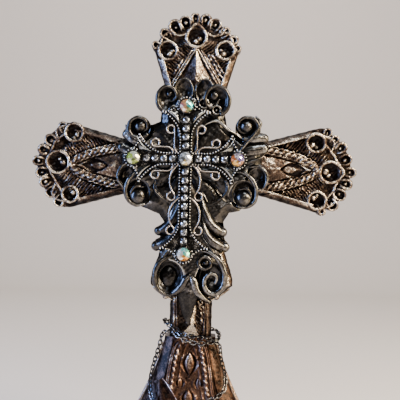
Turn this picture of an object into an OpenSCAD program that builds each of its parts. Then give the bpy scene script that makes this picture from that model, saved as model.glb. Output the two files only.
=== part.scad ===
// Free-standing altar cross in three layers: a cast cross on a flaring foot, a dark scroll
// overlay, and a pendant cross set with stones, with a fine chain wound round the waist.
// Millimetres, +Z up. The front faces -Y. The origin is the middle of the foot's underside.

/* [Whole object] */
// Height from the surface it stands on to the tip of the top arm
total_h = 240; // [238:1:242]
// Width across the tips of the two side arms
arm_span = 161; // [160:1:162]
// Height of the line through the two side arms
arms_z = 163; // [163:0.5:164]

/* [Cross body] */
// Thickness of the cast slab, front to back
slab_t = 11; // [10.5:0.5:12]
// Half the width of an arm at its widest corner
corner_v = 21.2; // [20.8:0.1:21.5]
// Half the width of an arm where it leaves the middle
root_v = 12.6; // [12.2:0.1:13]
// Width of the sloping flank along each arm
bevel_w = 3.2; // [2.5:0.1:3.5]
// Radius of the scallops round each tip
scallop_r = 2.75; // [2.6:0.05:2.9]

/* [Foot] */
// Width of the foot on the surface
foot_w = 100; // [98:1:104]
// Depth of the foot on the surface
foot_d = 66; // [64:1:70]
// Height of the foot, with its felt
foot_h = 79.5; // [79:0.5:80]
// Thickness of the felt pad
felt_t = 1.5; // [1:0.1:1.8]

/* [Overlay] */
// Plane of the overlay's back, in front of the middle plane
overlay_back = 7.3; // [7.3:0.1:7.5]
// Thickness of the overlay's plate
overlay_t = 2.7; // [2.5:0.1:2.8]

/* [Pendant] */
// Sideways place of the pendant's centre
pendant_x = -4.1; // [-4.3:0.1:-3.9]
// Height of the pendant's centre
pendant_z = 166.6; // [166:0.1:167]
// Plane of the pendant's back, in front of the middle plane
pendant_back = 16.6; // [16.5:0.1:17]
// Thickness of the pendant's frame
pendant_t = 1.3; // [1.2:0.1:1.4]
// Diameter of a small stone
stone_d = 3.5; // [3.3:0.1:3.6]
// Spacing of the small stones
stone_pitch = 4.15; // [4.12:0.01:4.2]
// Diameter of a large crystal
crystal_d = 6.5; // [6.3:0.1:6.6]

/* [Chain] */
// Radius of a link's round ends, to the middle of its wire
link_r = 0.82; // [0.81:0.01:0.84]
// Length of a link's straight sides
link_side = 1.15; // [1.13:0.01:1.17]
// Radius of the link's wire
link_wire = 0.25; // [0.24:0.01:0.25]

/* [Hidden] */
$fn = 48;

// Cross body
front_y = 6;
slab_back = slab_t - front_y;
tip_r = 21.2 + scallop_r;
scallop_ring = 21.2;
scallop_step = 18;
side_tip = arm_span / 2;
top_tip = total_h - arms_z;
low_corner = 58.5;
low_corner_v = 20.3;
neck_w = 20.8;
neck_back = 4;
neck_front = 5.5;
middle_r = 26;
lancet_w = 9.5;
lancet_len = 60;
lancet_rim = 2;
relief_t = 1.1;

// Foot: half its width follows one curve from waist to plinth, and its depth keeps step
plinth_h = 7.5;
waist_half = 12.6;
flare_half = foot_w / 2 - 4;
flare_power = 1.35;
depth_share = 0.674;
flare_z = felt_t + plinth_h;
flare_steps = 12;
corner_share = 0.81;

// Tie rod
rod_d = 5;
rod_bore_d = 5.4;
rod_top = foot_h + 32;
rod_low = felt_t + 3;
pocket_d = 17;
pocket_top = felt_t + 11;
washer_d = 14;
washer_t = 1.2;
nut_flats = 8;
nut_h = 4;

// Overlay fixing
pin_d = 2.4;
pin_bore_d = 2.6;
pin_depth = 3;
pin_places = [[-14, 176], [12, 176], [-10, 146], [9, 146]];

// Overlay: its middle line stands a little left of the cross body's
overlay_x = -0.9;
overlay_front = overlay_back + overlay_t;

// Pendant
arm_side = 24.9;
arm_up = 25.2;
arm_down = 45.7;
bar_half = 3.1;
flare_back = 2.5;
flare_half_w = 12;
flare_len = 13;
arch_r = 4.7;
frame_front = pendant_back + pendant_t;
first_stone = 6.2;
large_cup_d = crystal_d + 0.9;
large_cup_h = 2.2;
large_seat = 1.7;
small_cup_d = stone_d + 0.5;
small_cup_h = 1.5;
small_seat = 1.1;
seat_gap = 0.05;
wire_r = 0.42;
solder = 0.02;
post_d = 2;
post_bore_d = 2.2;
post_places = [[0, 13], [0, -9], [0, -30]];
pendant_mid = pendant_back + pendant_t / 2;

// Chain: neighbouring links interlock with a little to spare. Its route is a
// list of places on the foot and neck, each an angle round them (0 is the right side and 90 the
// front), a height, and how far the chain stands off there. It starts at the end of the left
// tail, goes once and a half round the waist, and ends at the end of the right tail.
link_slack = 0.15;
link_pitch = 2 * link_r + link_side - 2 * link_wire - link_slack;
chain_gap = 0.1;
corner_bulge = 0.047;
round_power = 3.6;
neck_hug = [11.4, 7];
route = [[130, 47.5, 0], [138, 51, 0], [146, 55.5, 0], [153, 60.5, 0], [160, 65.5, 0],
    [166, 71, 0], [167, 75.6, 0], [163, 79.8, 0.1], [151, 82.2, 0.3], [133, 81.8, 0],
    [112, 79.2, 0], [82, 77.2, 0], [50, 77.3, 0], [20, 78.6, 0], [0, 79.8, 0],
    [-45, 81.8, 0], [-90, 82.6, 0], [-135, 84.6, 0], [-180, 86.8, 0], [-208, 85.8, 0],
    [-232, 83.2, 0], [-255, 81, 0.2], [-280, 80.4, 1], [-300, 80, 2.4], [-318, 78.2, 2.4],
    [-331, 74.8, 1], [-332, 70, 0], [-331, 64.5, 0], [-326, 59, 0], [-318, 54.5, 0],
    [-305, 51.5, 0], [-290, 50.2, 0], [-275, 49.6, 0]];

// Numbers of the links where the tails begin and bend
left_knee = 8;
left_shoulder = 14;
mid_link = 44;
right_shoulder = 71;
right_knee = 79;

// Half the foot's width at height z
function flare(z) = waist_half + (flare_half - waist_half)
    * pow(max(0, (foot_h - z) / (foot_h - flare_z)), flare_power);

// Places its children on a plane that faces the front: their Y becomes Z, their Z comes forward
module front(plane) {
    translate([0, -plane, 0]) rotate([90, 0, 0]) children();
}

// ---------------------------------------------------------------- cross body

// Flanks of an arm that points up from the origin with its tip at len, inset by d
module flank_2d(len, d) {
    polygon([[-root_v + d, 20], [-root_v + d, 31], [-corner_v + d, len - 19],
        [-corner_v + d, len - 15 - d], [corner_v - d, len - 15 - d],
        [corner_v - d, len - 19], [root_v - d, 31], [root_v - d, 20]]);
}

// Rounded, scalloped end of an arm
module tip_2d(len) {
    intersection() {
        translate([0, len - tip_r]) circle(r = tip_r - 1.2);
        translate([-corner_v, len - 18]) square([2 * corner_v, 20]);
    }
    for (i = [-3:3])
        translate([0, len - tip_r]) rotate(i * scallop_step)
            translate([0, scallop_ring]) circle(r = scallop_r);
}

// Raised ring with a small dome in it
module ring_boss(r) {
    rotate_extrude() translate([r - 0.9, 0]) circle(r = 0.9);
    sphere(r = 1.4);
}

// Lens-shaped ridge with its point at the origin, running back down the arm
module lancet() {
    lens_r = (lancet_len * lancet_len / 4 + lancet_w * lancet_w) / (2 * lancet_w);
    linear_extrude(relief_t) intersection() {
        difference() {
            lens_2d(lens_r, 0);
            lens_2d(lens_r, lancet_rim);
        }
        translate([-lancet_w, -24]) square([2 * lancet_w, 24]);
    }
}

module lens_2d(lens_r, rim) {
    intersection_for(s = [-1, 1])
        translate([s * (lens_r - lancet_w), -lancet_len / 2]) circle(r = lens_r - rim, $fn = 96);
}

module arm(len) {
    front(-slab_back) linear_extrude(slab_back + 3) flank_2d(len, 0);
    hull() {
        front(3) linear_extrude(0.1) flank_2d(len, 0);
        front(front_y - 0.1) linear_extrude(0.1) flank_2d(len, bevel_w);
    }
    front(1 - slab_back) linear_extrude(slab_back + front_y - 2) tip_2d(len);
    front(front_y - 1) {
        translate([0, len - 13]) ring_boss(5.3);
        for (s = [-1, 1]) translate([s * 14.2, len - 19.8]) ring_boss(4.6);
        for (i = [-3:3])
            translate([0, len - tip_r]) rotate(i * scallop_step)
                translate([0, scallop_ring]) rotate_extrude() translate([2, 0]) circle(r = 0.7);
    }
    front(front_y) translate([0, len - 19.5]) lancet();
}

// The arm that runs down into the neck
module lower_arm() {
    front(-slab_back) linear_extrude(slab_t) polygon([
        [-root_v, -20], [-root_v, -31], [-low_corner_v, -low_corner + 4],
        [-low_corner_v, -low_corner], [-neck_w / 2, -low_corner - 7],
        [neck_w / 2, -low_corner - 7], [low_corner_v, -low_corner],
        [low_corner_v, -low_corner + 4], [root_v, -31], [root_v, -20]]);
}

module cross_body() {
    color("#6b5640") difference() {
        union() {
            translate([0, 0, arms_z]) {
                arm(top_tip);
                for (a = [-90, 90]) rotate([0, a, 0]) arm(side_tip);
                lower_arm();
                front(-slab_back) linear_extrude(slab_t) circle(r = middle_r);
            }
            translate([-neck_w / 2, -neck_front, foot_h])
                cube([neck_w, neck_front + neck_back, arms_z - foot_h - low_corner]);
        }
        translate([0, 0, foot_h - 1]) cylinder(d = rod_bore_d, h = rod_top - foot_h + 2);
        pin_bores();
    }
}

// ---------------------------------------------------------------- foot and its fixing

// Outline of the foot seen square on, its half width the flare times share
module flare_2d(share) {
    zs = [for (i = [0:flare_steps]) flare_z + (foot_h - flare_z) * i / flare_steps];
    polygon(concat([for (z = zs) [flare(z) * share, z]],
        [for (i = [0:flare_steps]) let(z = zs[flare_steps - i]) [-flare(z) * share, z]]));
}

module flare_prism(share) {
    translate([0, foot_w, 0]) rotate([90, 0, 0]) linear_extrude(2 * foot_w) flare_2d(share);
}

module foot() {
    corner_turn = atan(depth_share);
    corner_half = 2 * corner_share * sin(corner_turn);
    color("#5f4936") difference() {
        union() {
            intersection() {
                flare_prism(1);
                rotate(90) flare_prism(depth_share);
                rotate(90 - corner_turn) flare_prism(corner_half);
                rotate(corner_turn - 90) flare_prism(corner_half);
            }
            translate([0, 0, felt_t]) linear_extrude(plinth_h) intersection() {
                square([foot_w, foot_d], center = true);
                circle(r = foot_w * 0.565, $fn = 96);
            }
        }
        translate([0, 0, felt_t - 1]) cylinder(d = pocket_d, h = pocket_top - felt_t + 1);
        cylinder(d = rod_bore_d, h = foot_h + 1);
    }
}

module tie_rod() {
    color("silver") translate([0, 0, rod_low]) cylinder(d = rod_d, h = rod_top - rod_low);
}

module rod_washer() {
    color("silver") translate([0, 0, pocket_top - washer_t]) difference() {
        cylinder(d = washer_d, h = washer_t);
        translate([0, 0, -1]) cylinder(d = rod_bore_d, h = washer_t + 2);
    }
}

module rod_nut() {
    color("silver") translate([0, 0, pocket_top - washer_t - nut_h]) difference() {
        cylinder(d = nut_flats / cos(30), h = nut_h, $fn = 6);
        translate([0, 0, -1]) cylinder(d = rod_d + 0.1, h = nut_h + 2);
    }
}

module felt_pad() {
    color("#2a3324") linear_extrude(felt_t) intersection() {
        square([foot_w - 4, foot_d - 4], center = true);
        circle(r = foot_w * 0.545, $fn = 96);
    }
}

// ---------------------------------------------------------------- overlay

// A flat disc of the overlay's plate
module lobe_2d(x, z, r) {
    translate([overlay_x + x, z]) circle(r = r);
}

// Rolled scroll end: a rim standing on the plate with a ball in its eye
module volute(x, z, r, ball) {
    front(overlay_front) translate([overlay_x + x, z]) {
        translate([0, 0, 0.6]) rotate_extrude() translate([r - 1.3, 0]) circle(r = 1.3);
        translate([0, 0, 0.4]) sphere(r = ball);
    }
}

// Rounded leaf standing on the plate, from a to b
module leaf(a, b, ra, rb) {
    front(overlay_front - 0.4) hull() {
        translate([overlay_x + a[0], a[1]]) sphere(r = ra, $fn = 16);
        translate([overlay_x + b[0], b[1]]) sphere(r = rb, $fn = 16);
    }
}

module overlay_plate_2d() {
    lobe_2d(0, 165, 21);
    for (s = [-1, 1]) {
        lobe_2d(s * 4.7, 201.5, 4.5);
        lobe_2d(s * 11.8, 196.5, 6.6);
        lobe_2d(s * 26.5, 181.7, 5.8);
        lobe_2d(s * 32, 174, 3.9);
        lobe_2d(s * 31.8, 158, 4.5);
        lobe_2d(s * 25.2, 149.8, 6.1);
        lobe_2d(s * 13.6, 131, 3);
        lobe_2d(s * 14.6, 125, 3);
        lobe_2d(s * 11.2, 109, 7.7);
    }
    translate([overlay_x, 0]) polygon([[-9, 200], [9, 200], [12, 180], [27, 177], [33, 172],
        [34, 160], [28, 146], [14, 137], [12, 122], [12, 104], [5, 101], [0.6, 85],
        [-0.6, 85], [-5, 101], [-12, 104], [-12, 122], [-14, 137], [-28, 146], [-34, 160],
        [-33, 172], [-27, 177], [-12, 180]]);
}

module scroll_overlay() {
    color("#2f3036") difference() {
        union() {
            front(overlay_back) linear_extrude(overlay_t) overlay_plate_2d();
            for (s = [-1, 1]) {
                volute(s * 4.7, 201.5, 4.4, 1.6);
                volute(s * 11.8, 196.5, 6.5, 3);
                volute(s * 26.5, 181.7, 5.7, 2.6);
                volute(s * 31.8, 158, 4.4, 1.5);
                volute(s * 25.2, 149.8, 6, 3);
                volute(s * 11.2, 109, 7.6, 3);
                leaf([s * 5, 146], [s * 13.6, 131], 2.6, 2);
                leaf([s * 6, 138], [s * 14.6, 125], 2.4, 2);
            }
            leaf([0, 112], [0, 87], 3.4, 0.8);
            front(overlay_front) translate([overlay_x, 165]) intersection() {
                translate([0, 0, -18]) sphere(r = 23);
                cylinder(r = 16, h = 6);
            }
        }
        pin_bores();
        post_bores();
    }
}

// Blind bores shared by the cross body and the overlay
module pin_bores() {
    for (p = pin_places) front(overlay_back - pin_depth - 1.5)
        translate([p[0], p[1]]) cylinder(d = pin_bore_d, h = pin_depth + 3.5);
}

module overlay_pins() {
    color("silver") for (p = pin_places) front(overlay_back - pin_depth - 1)
        translate([p[0], p[1]]) cylinder(d = pin_d, h = pin_depth + 2.8);
}

// ---------------------------------------------------------------- pendant

// Puts its children at the pendant's centre, standing forward of the given plane
module on_pendant(plane) {
    translate([pendant_x, 0, pendant_z]) front(plane) children();
}

// Flared end of an arm that points up, its large stone at height len
module flare_end_2d(len) {
    point_w = len - flare_back;
    start_w = len - flare_back - flare_len;
    side = [for (i = [0:8]) let(t = i / 8)
        [bar_half + (flare_half_w - bar_half) * pow(t, 2.2), start_w + flare_len * t]];
    top = [for (i = [1:6]) let(t = i / 6)
        [flare_half_w * (1 - t) + arch_r * 0.5 * t, point_w + 3.2 * t * t]];
    half = concat([[0, start_w]], side, top, [[0, len + arch_r - 0.5]]);
    polygon(half);
    mirror([1, 0]) polygon(half);
    translate([0, len]) circle(r = arch_r);
}

module pendant_2d() {
    flare_end_2d(arm_up);
    rotate(180) flare_end_2d(arm_down);
    for (a = [-90, 90]) rotate(a) flare_end_2d(arm_side);
    translate([-bar_half, -arm_down]) square([2 * bar_half, arm_down + arm_up]);
    translate([-arm_side, -bar_half]) square([2 * arm_side, 2 * bar_half]);
}

module pendant_frame() {
    color("#3b3a3d") difference() {
        on_pendant(pendant_back) linear_extrude(pendant_t) pendant_2d();
        for (p = post_places) on_pendant(pendant_back - 1)
            translate([p[0], p[1]]) cylinder(d = post_bore_d, h = 1.8);
    }
}

// Bores in the overlay that take the posts
module post_bores() {
    for (p = post_places) on_pendant(overlay_back + 0.7)
        translate([p[0], p[1]]) cylinder(d = post_bore_d, h = 12);
}

module pendant_posts() {
    color("silver") for (p = post_places) on_pendant(overlay_back + 1)
        translate([p[0], p[1]]) cylinder(d = post_d, h = pendant_back - overlay_back - 0.4);
}

// Bent wire: part of a circle round (u, w), from angle a through sweep
module wire_arc(u, w, r, a, sweep) {
    translate([u, w]) rotate(a) rotate_extrude(angle = sweep)
        translate([r, 0]) circle(r = wire_r);
}

// Draws its children and their mirror image
module both_sides() {
    children();
    mirror([1, 0, 0]) children();
}

module wire_straight(a, b) {
    d = b - a;
    translate([a[0], a[1]]) rotate(atan2(d[1], d[0])) rotate([0, 90, 0])
        cylinder(r = wire_r, h = norm(d));
}

// The bars' own space, which the wires are cut back to and soldered on
module bar_space() {
    translate([-bar_half, -60, -2]) cube([2 * bar_half, 120, 4]);
    translate([-40, -bar_half, -2]) cube([80, 2 * bar_half, 4]);
}

module wire_scrolls_upper() {
    color("#8d8a84") on_pendant(pendant_mid) difference() {
        both_sides() {
            wire_arc(7.3, 14.2, 1.9, -120, 300);
            wire_straight([5.4, 14.2 - solder], [5.4, 6 + solder]);
            wire_arc(0.9, 6, 4.5, -60, 60);
            wire_arc(14.6, 7.6, 1.9, -90, 300);
            wire_straight([14.6, 5.7], [9, 5.7]);
            wire_arc(9, 2.7, 3, 90, 100);
        }
        bar_space();
    }
}

module wire_scrolls_lower() {
    color("#8d8a84") on_pendant(pendant_mid) difference() {
        both_sides() {
            wire_arc(14.6, -7.7, 1.9, 150, 300);
            wire_straight([14.6, -5.8], [9, -5.8]);
            wire_arc(9, -2.8, 3, 170, 100);
            for (w = [-10.6, -27]) {
                wire_arc(-2.2, w, 9.6, -40, 115);
                wire_arc(6.6, w - 7.39, 1.9, 140, 300);
            }
        }
        bar_space();
    }
}

// Setting cup with a seat for a stone
module cup(d, h, seat_d, seat) {
    difference() {
        cylinder(d = d, h = h);
        translate([0, 0, h - seat]) cylinder(d = seat_d, h = seat + 1);
    }
}

// Round cut stone: girdle, crown and table, standing on its seat
module cut_stone(d, seat, crown) {
    cylinder(d1 = d * 0.55, d2 = d, h = seat - 0.15);
    translate([0, 0, seat - 0.15]) cylinder(d = d, h = 0.3);
    translate([0, 0, seat + 0.15]) cylinder(d1 = d, d2 = d * 0.56, h = crown);
}

module large_cups() {
    color("#55504a") for (p = [[0, arm_up], [-arm_side, 0], [0, 0], [arm_side, 0], [0, -arm_down]])
        on_pendant(frame_front) translate([p[0], p[1]])
            cup(large_cup_d, large_cup_h, crystal_d + 2 * seat_gap, large_seat);
}

module crystal(u, w) {
    on_pendant(frame_front + large_cup_h - large_seat) translate([u, w])
        cut_stone(crystal_d, large_seat, 1.2);
}

module crystal_top() {
    color("#e8b9a0") crystal(0, arm_up);
}

module crystal_left() {
    color("#dfe8b8") crystal(-arm_side, 0);
}

module crystal_centre() {
    color("#f2efe6") crystal(0, 0);
}

module crystal_right() {
    color("#d8b49a") crystal(arm_side, 0);
}

module crystal_bottom() {
    color("#e3efe9") crystal(0, -arm_down);
}

// Repeats its child along an arm: direction dir, n places
module stone_row(dir, n) {
    for (i = [0:n - 1]) translate(dir * (first_stone + i * stone_pitch)) children();
}

module cup_strip(dir, n) {
    color("#4b4845") on_pendant(frame_front) stone_row(dir, n)
        cup(small_cup_d, small_cup_h, stone_d + 2 * seat_gap, small_seat);
}

module stones(dir, n) {
    color("#e9edf0") on_pendant(frame_front + small_cup_h - small_seat) stone_row(dir, n)
        cut_stone(stone_d, small_seat, 0.6);
}

module cup_strip_top() {
    cup_strip([0, 1], 4);
}

module cup_strip_left() {
    cup_strip([-1, 0], 4);
}

module cup_strip_right() {
    cup_strip([1, 0], 4);
}

module cup_strip_bottom() {
    cup_strip([0, -1], 9);
}

module stones_top() {
    stones([0, 1], 4);
}

module stones_left() {
    stones([-1, 0], 4);
}

module stones_right() {
    stones([1, 0], 4);
}

module stones_bottom() {
    stones([0, -1], 9);
}

// ---------------------------------------------------------------- chain

// Half sizes of what the chain lies on at height z: the foot, or the neck above it
function hug(z) =
    let(up = min(1, max(0, (z - 80) / 2)), half = flare(min(z, foot_h)))
    [half, half * depth_share] * (1 - up) + neck_hug * up;

// The point on the chain's route at angle az, height z and stand-off
function round_point(az, z, off) =
    let(h = hug(z), o = link_r + link_wire + chain_gap + corner_bulge * h[0] + off,
        r = pow(pow(abs(cos(az)) / (h[0] + o), round_power)
            + pow(abs(sin(az)) / (h[1] + o), round_power), -1 / round_power))
    [r * cos(az), -r * sin(az), z];

// Smooth curve through four neighbouring places, at share t between the middle two
function between(a, b, c, d, t) =
    (2 * b + (c - a) * t + (2 * a - 5 * b + 4 * c - d) * t * t
        + (3 * b - a - 3 * c + d) * t * t * t) / 2;

// The route at u, counted in places from the second one
function place(u) =
    let(i = max(0, min(floor(u), len(route) - 4)))
    between(route[i], route[i + 1], route[i + 2], route[i + 3], u - i);

function at(u) = let(k = place(u)) round_point(k[0], k[1], k[2]);
function unit(v) = v / norm(v);
function along(u) = at(u + 0.02) - at(u - 0.02);

// Steps on along the route by one link, bettering a first guess twice
function better(u, step) = step * link_pitch / norm(at(u + step) - at(u));
function next_u(u) =
    let(first = 0.04 * link_pitch / norm(along(u)))
    u + better(u, better(u, first));

// One oval link lying in the XY plane, its length along X
module link() {
    for (s = [-1, 1]) {
        translate([s * link_side / 2, 0]) rotate(-s * 90)
            rotate_extrude(angle = 180) translate([link_r, 0]) circle(r = link_wire);
        translate([-link_side / 2, s * link_r]) rotate([0, 90, 0])
            cylinder(r = link_wire, h = link_side);
    }
}

// The points where neighbouring links hook into each other, one more than there are links
route_end = len(route) - 3;
hooks = [for (u = 0; u < route_end; u = next_u(u)) at(u)];

function link_dir(i) = unit(hooks[i + 1] - hooks[i]);
function link_mid(i) = (hooks[i] + hooks[i + 1]) / 2;

// Direction square to a link that points away from what the chain lies on
function link_out(i) =
    let(t = link_dir(i), p = link_mid(i), h = hug(p[2]),
        n = unit([p[0] / pow(h[0], 2), p[1] / pow(h[1], 2), 0.3 / h[0]]))
    unit(n - t * (n * t));

// The links from one number up to another. Even ones lie flat and odd ones stand out.
module links(from, to) {
    color("#1f1e22") for (i = [from:to - 1]) {
        x = link_dir(i);
        y = i % 2 == 0 ? cross(link_out(i), x) : link_out(i);
        z = cross(x, y);
        p = link_mid(i);
        multmatrix([[x[0], y[0], z[0], p[0]], [x[1], y[1], z[1], p[1]],
            [x[2], y[2], z[2], p[2]]]) link();
    }
}

module chain_left_lower() {
    links(0, left_knee);
}

module chain_left_upper() {
    links(left_knee, left_shoulder);
}

module chain_turn_low() {
    links(left_shoulder, mid_link);
}

module chain_turn_high() {
    links(mid_link, right_shoulder);
}

module chain_right_upper() {
    links(right_shoulder, right_knee);
}

module chain_right_lower() {
    links(right_knee, len(hooks) - 1);
}

cross_body();
foot();
tie_rod();
rod_washer();
rod_nut();
felt_pad();
scroll_overlay();
overlay_pins();
pendant_frame();
pendant_posts();
wire_scrolls_upper();
wire_scrolls_lower();
large_cups();
crystal_top();
crystal_left();
crystal_centre();
crystal_right();
crystal_bottom();
cup_strip_top();
cup_strip_left();
cup_strip_right();
cup_strip_bottom();
stones_top();
stones_left();
stones_right();
stones_bottom();
chain_turn_low();
chain_turn_high();
chain_left_upper();
chain_left_lower();
chain_right_upper();
chain_right_lower();
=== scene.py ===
"""Looks of the altar cross: two antiqued castings, a dark scroll overlay, a pendant cross set
with stones and a fine chain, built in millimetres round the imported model."""
import math

import bpy
import numpy as np
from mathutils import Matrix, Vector


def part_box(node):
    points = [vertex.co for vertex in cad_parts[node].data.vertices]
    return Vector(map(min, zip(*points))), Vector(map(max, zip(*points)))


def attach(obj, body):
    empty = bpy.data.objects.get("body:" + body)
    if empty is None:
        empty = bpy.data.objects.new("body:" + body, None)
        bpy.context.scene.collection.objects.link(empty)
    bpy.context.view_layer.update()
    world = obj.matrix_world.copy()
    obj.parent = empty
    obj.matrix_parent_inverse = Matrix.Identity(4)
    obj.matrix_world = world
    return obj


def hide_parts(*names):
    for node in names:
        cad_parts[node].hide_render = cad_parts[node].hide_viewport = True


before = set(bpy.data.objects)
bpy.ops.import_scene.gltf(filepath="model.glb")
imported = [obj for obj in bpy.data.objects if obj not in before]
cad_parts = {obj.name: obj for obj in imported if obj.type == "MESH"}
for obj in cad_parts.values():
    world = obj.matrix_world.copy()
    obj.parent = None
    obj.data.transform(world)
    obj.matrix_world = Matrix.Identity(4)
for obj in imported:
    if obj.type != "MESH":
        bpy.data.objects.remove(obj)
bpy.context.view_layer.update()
rng = np.random.default_rng(7)
MM = 0.001


def node_box(node):
    """Lowest and highest corners of a CAD node in millimetres."""
    low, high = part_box(node)
    return np.array(low) / MM, np.array(high) / MM


CROSS_LOW, CROSS_HIGH = node_box("cross_body")
FOOT_LOW, FOOT_HIGH = node_box("foot")
PENDANT_LOW, PENDANT_HIGH = node_box("pendant_frame")
SIDE_TIP = CROSS_HIGH[0]
ARMS_Z = 163.0
TOP_TIP = CROSS_HIGH[2] - ARMS_Z
NECK_Z = CROSS_LOW[2]

# ------------------------------------------------------------------ mesh tools


def add_object(name, data):
    """Puts a new object into the scene."""
    thing = bpy.data.objects.new(name, data)
    bpy.context.scene.collection.objects.link(thing)
    return thing


class Shape:
    """Mesh parts gathered in millimetres before they become one piece."""

    def __init__(self):
        self.verts, self.faces, self.relief, self.count = [], [], [], 0

    def add(self, verts, faces, relief):
        """Relief is how far each vertex stands proud of its surroundings, for the patina and
        painted shade in the hollows; it also carries painted highlights and painted shade.
        """
        verts = np.asarray(verts, float).reshape(-1, 3)
        self.verts.append(verts)
        self.relief.append(np.broadcast_to(np.asarray(relief, float).ravel(), len(verts)))
        self.faces += [tuple(int(i) + self.count for i in face) for face in faces]
        self.count += len(verts)

    def piece(self, name, material, slot, body="root", replaces=(), sharp=50, uneven=0.0):
        """Makes the object. Uneven is how far the surface strays from true, in millimetres."""
        mesh = bpy.data.meshes.new(name)
        verts = np.vstack(self.verts)
        verts = verts + uneven * wander(verts)
        mesh.from_pydata((verts * MM).tolist(), [], self.faces)
        mesh.attributes.new("relief", "FLOAT", "POINT").data.foreach_set(
            "value", np.concatenate(self.relief).astype(np.float32))
        mesh.polygons.foreach_set("use_smooth", [True] * len(mesh.polygons))
        mesh.set_sharp_from_angle(angle=math.radians(sharp))
        mesh.materials.append(material)
        piece = add_object(name, mesh)
        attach(piece, body)
        if replaces:
            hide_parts(*replaces)


def wander(p):
    """Smooth irregular shift for each point, of about one millimetre at most."""
    x, y, z = p.T
    return np.stack([np.sin(1.10 * z + 0.7 * x + 1.3 * y) + 0.6 * np.sin(2.3 * x - 1.9 * z + 2.0),
                     0.8 * np.sin(1.3 * x + 1.7 * z) + 0.7 * np.sin(2.9 * z - 2.1 * x + 1.0),
                     np.sin(1.25 * x - 0.6 * z + 0.9 * y + 4.0) + 0.6 * np.sin(2.1 * z + 1.8 * x)],
                    -1) * 0.6


def grid_faces(rows, cols, wrap=False):
    """Quads between neighbouring points of a grid that is listed row by row."""
    last = cols if wrap else cols - 1
    i, j = np.meshgrid(np.arange(rows - 1), np.arange(last), indexing="ij")
    a, b = i * cols + j, i * cols + (j + 1) % cols
    return np.stack([a, b, b + cols, a + cols], -1).reshape(-1, 4)


def smooth_step(t):
    t = np.clip(t, 0, 1)
    return t * t * (3 - 2 * t)


def at(x, z, f):
    """Points at (x, z) standing forward of the middle plane by f."""
    x, z, f = np.broadcast_arrays(np.asarray(x, float), z, f)
    return np.stack([x, -f, z], -1)


def curve(points, count):
    """Smooth curve through the points, with count samples."""
    p = np.asarray(points, float)
    p = np.vstack([2 * p[0] - p[1], p, 2 * p[-1] - p[-2]])
    spans = len(p) - 3
    u = np.linspace(0, spans, count)
    i = np.minimum(u.astype(int), spans - 1)
    t = (u - i)[:, None]
    a, b, c, d = p[i], p[i + 1], p[i + 2], p[i + 3]
    return (2 * b + (c - a) * t + (2 * a - 5 * b + 4 * c - d) * t ** 2
            + (3 * b - a - 3 * c + d) * t ** 3) / 2


def even(path, spacing):
    """The same path in even steps of about the spacing."""
    path = np.asarray(path, float)
    run = np.r_[0, np.cumsum(np.linalg.norm(np.diff(path, axis=0), axis=1))]
    steps = np.linspace(0, run[-1], max(2, int(round(run[-1] / spacing)) + 1))
    return np.stack([np.interp(steps, run, path[:, k]) for k in range(path.shape[1])], -1)


def stretched(values, count):
    """The values spread evenly over count samples."""
    return np.interp(np.linspace(0, 1, count), np.linspace(0, 1, len(values)), values)


def circle_path(x, z, r, f, start=0, sweep=360, count=40, rz=None):
    """Points round a circle, or an ellipse if rz is given. The angles are in degrees."""
    a = np.radians(start + np.linspace(0, sweep, count, endpoint=abs(sweep) < 360))
    return at(x + r * np.cos(a), z + (rz or r) * np.sin(a), f)


# Rope: how many strands, the length in which they turn once, and how deep they are parted
STRANDS, STRAND_PITCH, STRAND_DEPTH = 2, 2.9, 0.3


def tube(shape, path, radius, sides=8, closed=False, relief=(-0.3, 0.6), rope=False):
    """Round bar along the path, plain or twisted like a rope."""
    path = np.asarray(path, float)
    n = len(path)
    radius = np.broadcast_to(np.asarray(radius, float), n).copy()
    if closed:
        tangent = np.roll(path, -1, 0) - np.roll(path, 1, 0)
    else:
        tangent = np.gradient(path, axis=0)
        head, tail = path[0] - path[1], path[-1] - path[-2]
        head, tail = (v / (np.linalg.norm(v) + 1e-9) for v in (head, tail))
        path = np.vstack([path[0] + head * radius[0] * 0.75, path[0] + head * radius[0] * 0.5, path,
                          path[-1] + tail * radius[-1] * 0.5, path[-1] + tail * radius[-1] * 0.75])
        tangent = np.vstack([tangent[:1]] * 2 + [tangent] + [tangent[-1:]] * 2)
        radius = np.r_[radius[0] * 0.05, radius[0] * 0.7, radius, radius[-1] * 0.7,
                       radius[-1] * 0.05]
        n += 4
    tangent /= np.linalg.norm(tangent, axis=1)[:, None] + 1e-9
    side = np.cross(tangent, [0, -1.0, 0])
    side /= np.linalg.norm(side, axis=1)[:, None] + 1e-9
    up = np.cross(side, tangent)
    run = np.r_[0, np.cumsum(np.linalg.norm(np.diff(path, axis=0), axis=1))]
    a = np.arange(sides) * 2 * np.pi / sides
    r = radius[:, None] * np.ones(sides)
    if rope:
        turn = STRANDS * a[None] - 2 * np.pi * run[:, None] / STRAND_PITCH
        r = r * (1 + STRAND_DEPTH * np.cos(turn))
    ring = np.cos(a)[None, :, None] * side[:, None] + np.sin(a)[None, :, None] * up[:, None]
    verts = path[:, None] + r[..., None] * ring
    # Brightest on the front crest and darkest at the back: rubbed wear, with a painted highlight on
    # the crest and painted shade on the sides
    proud = relief[0] + (relief[1] - relief[0]) * ((1 - ring[..., 1]) / 2) ** 3
    if rope:
        proud = proud + 0.9 * (r / radius[:, None] - 1)
    faces = grid_faces(n, sides, wrap=True)
    if closed:
        a0 = (n - 1) * sides + np.arange(sides)
        close = np.stack([a0, np.roll(a0, -1), (np.arange(sides) + 1) % sides,
                          np.arange(sides)], -1)
        faces = np.vstack([faces, close])
    shape.add(verts, faces, proud)


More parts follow.
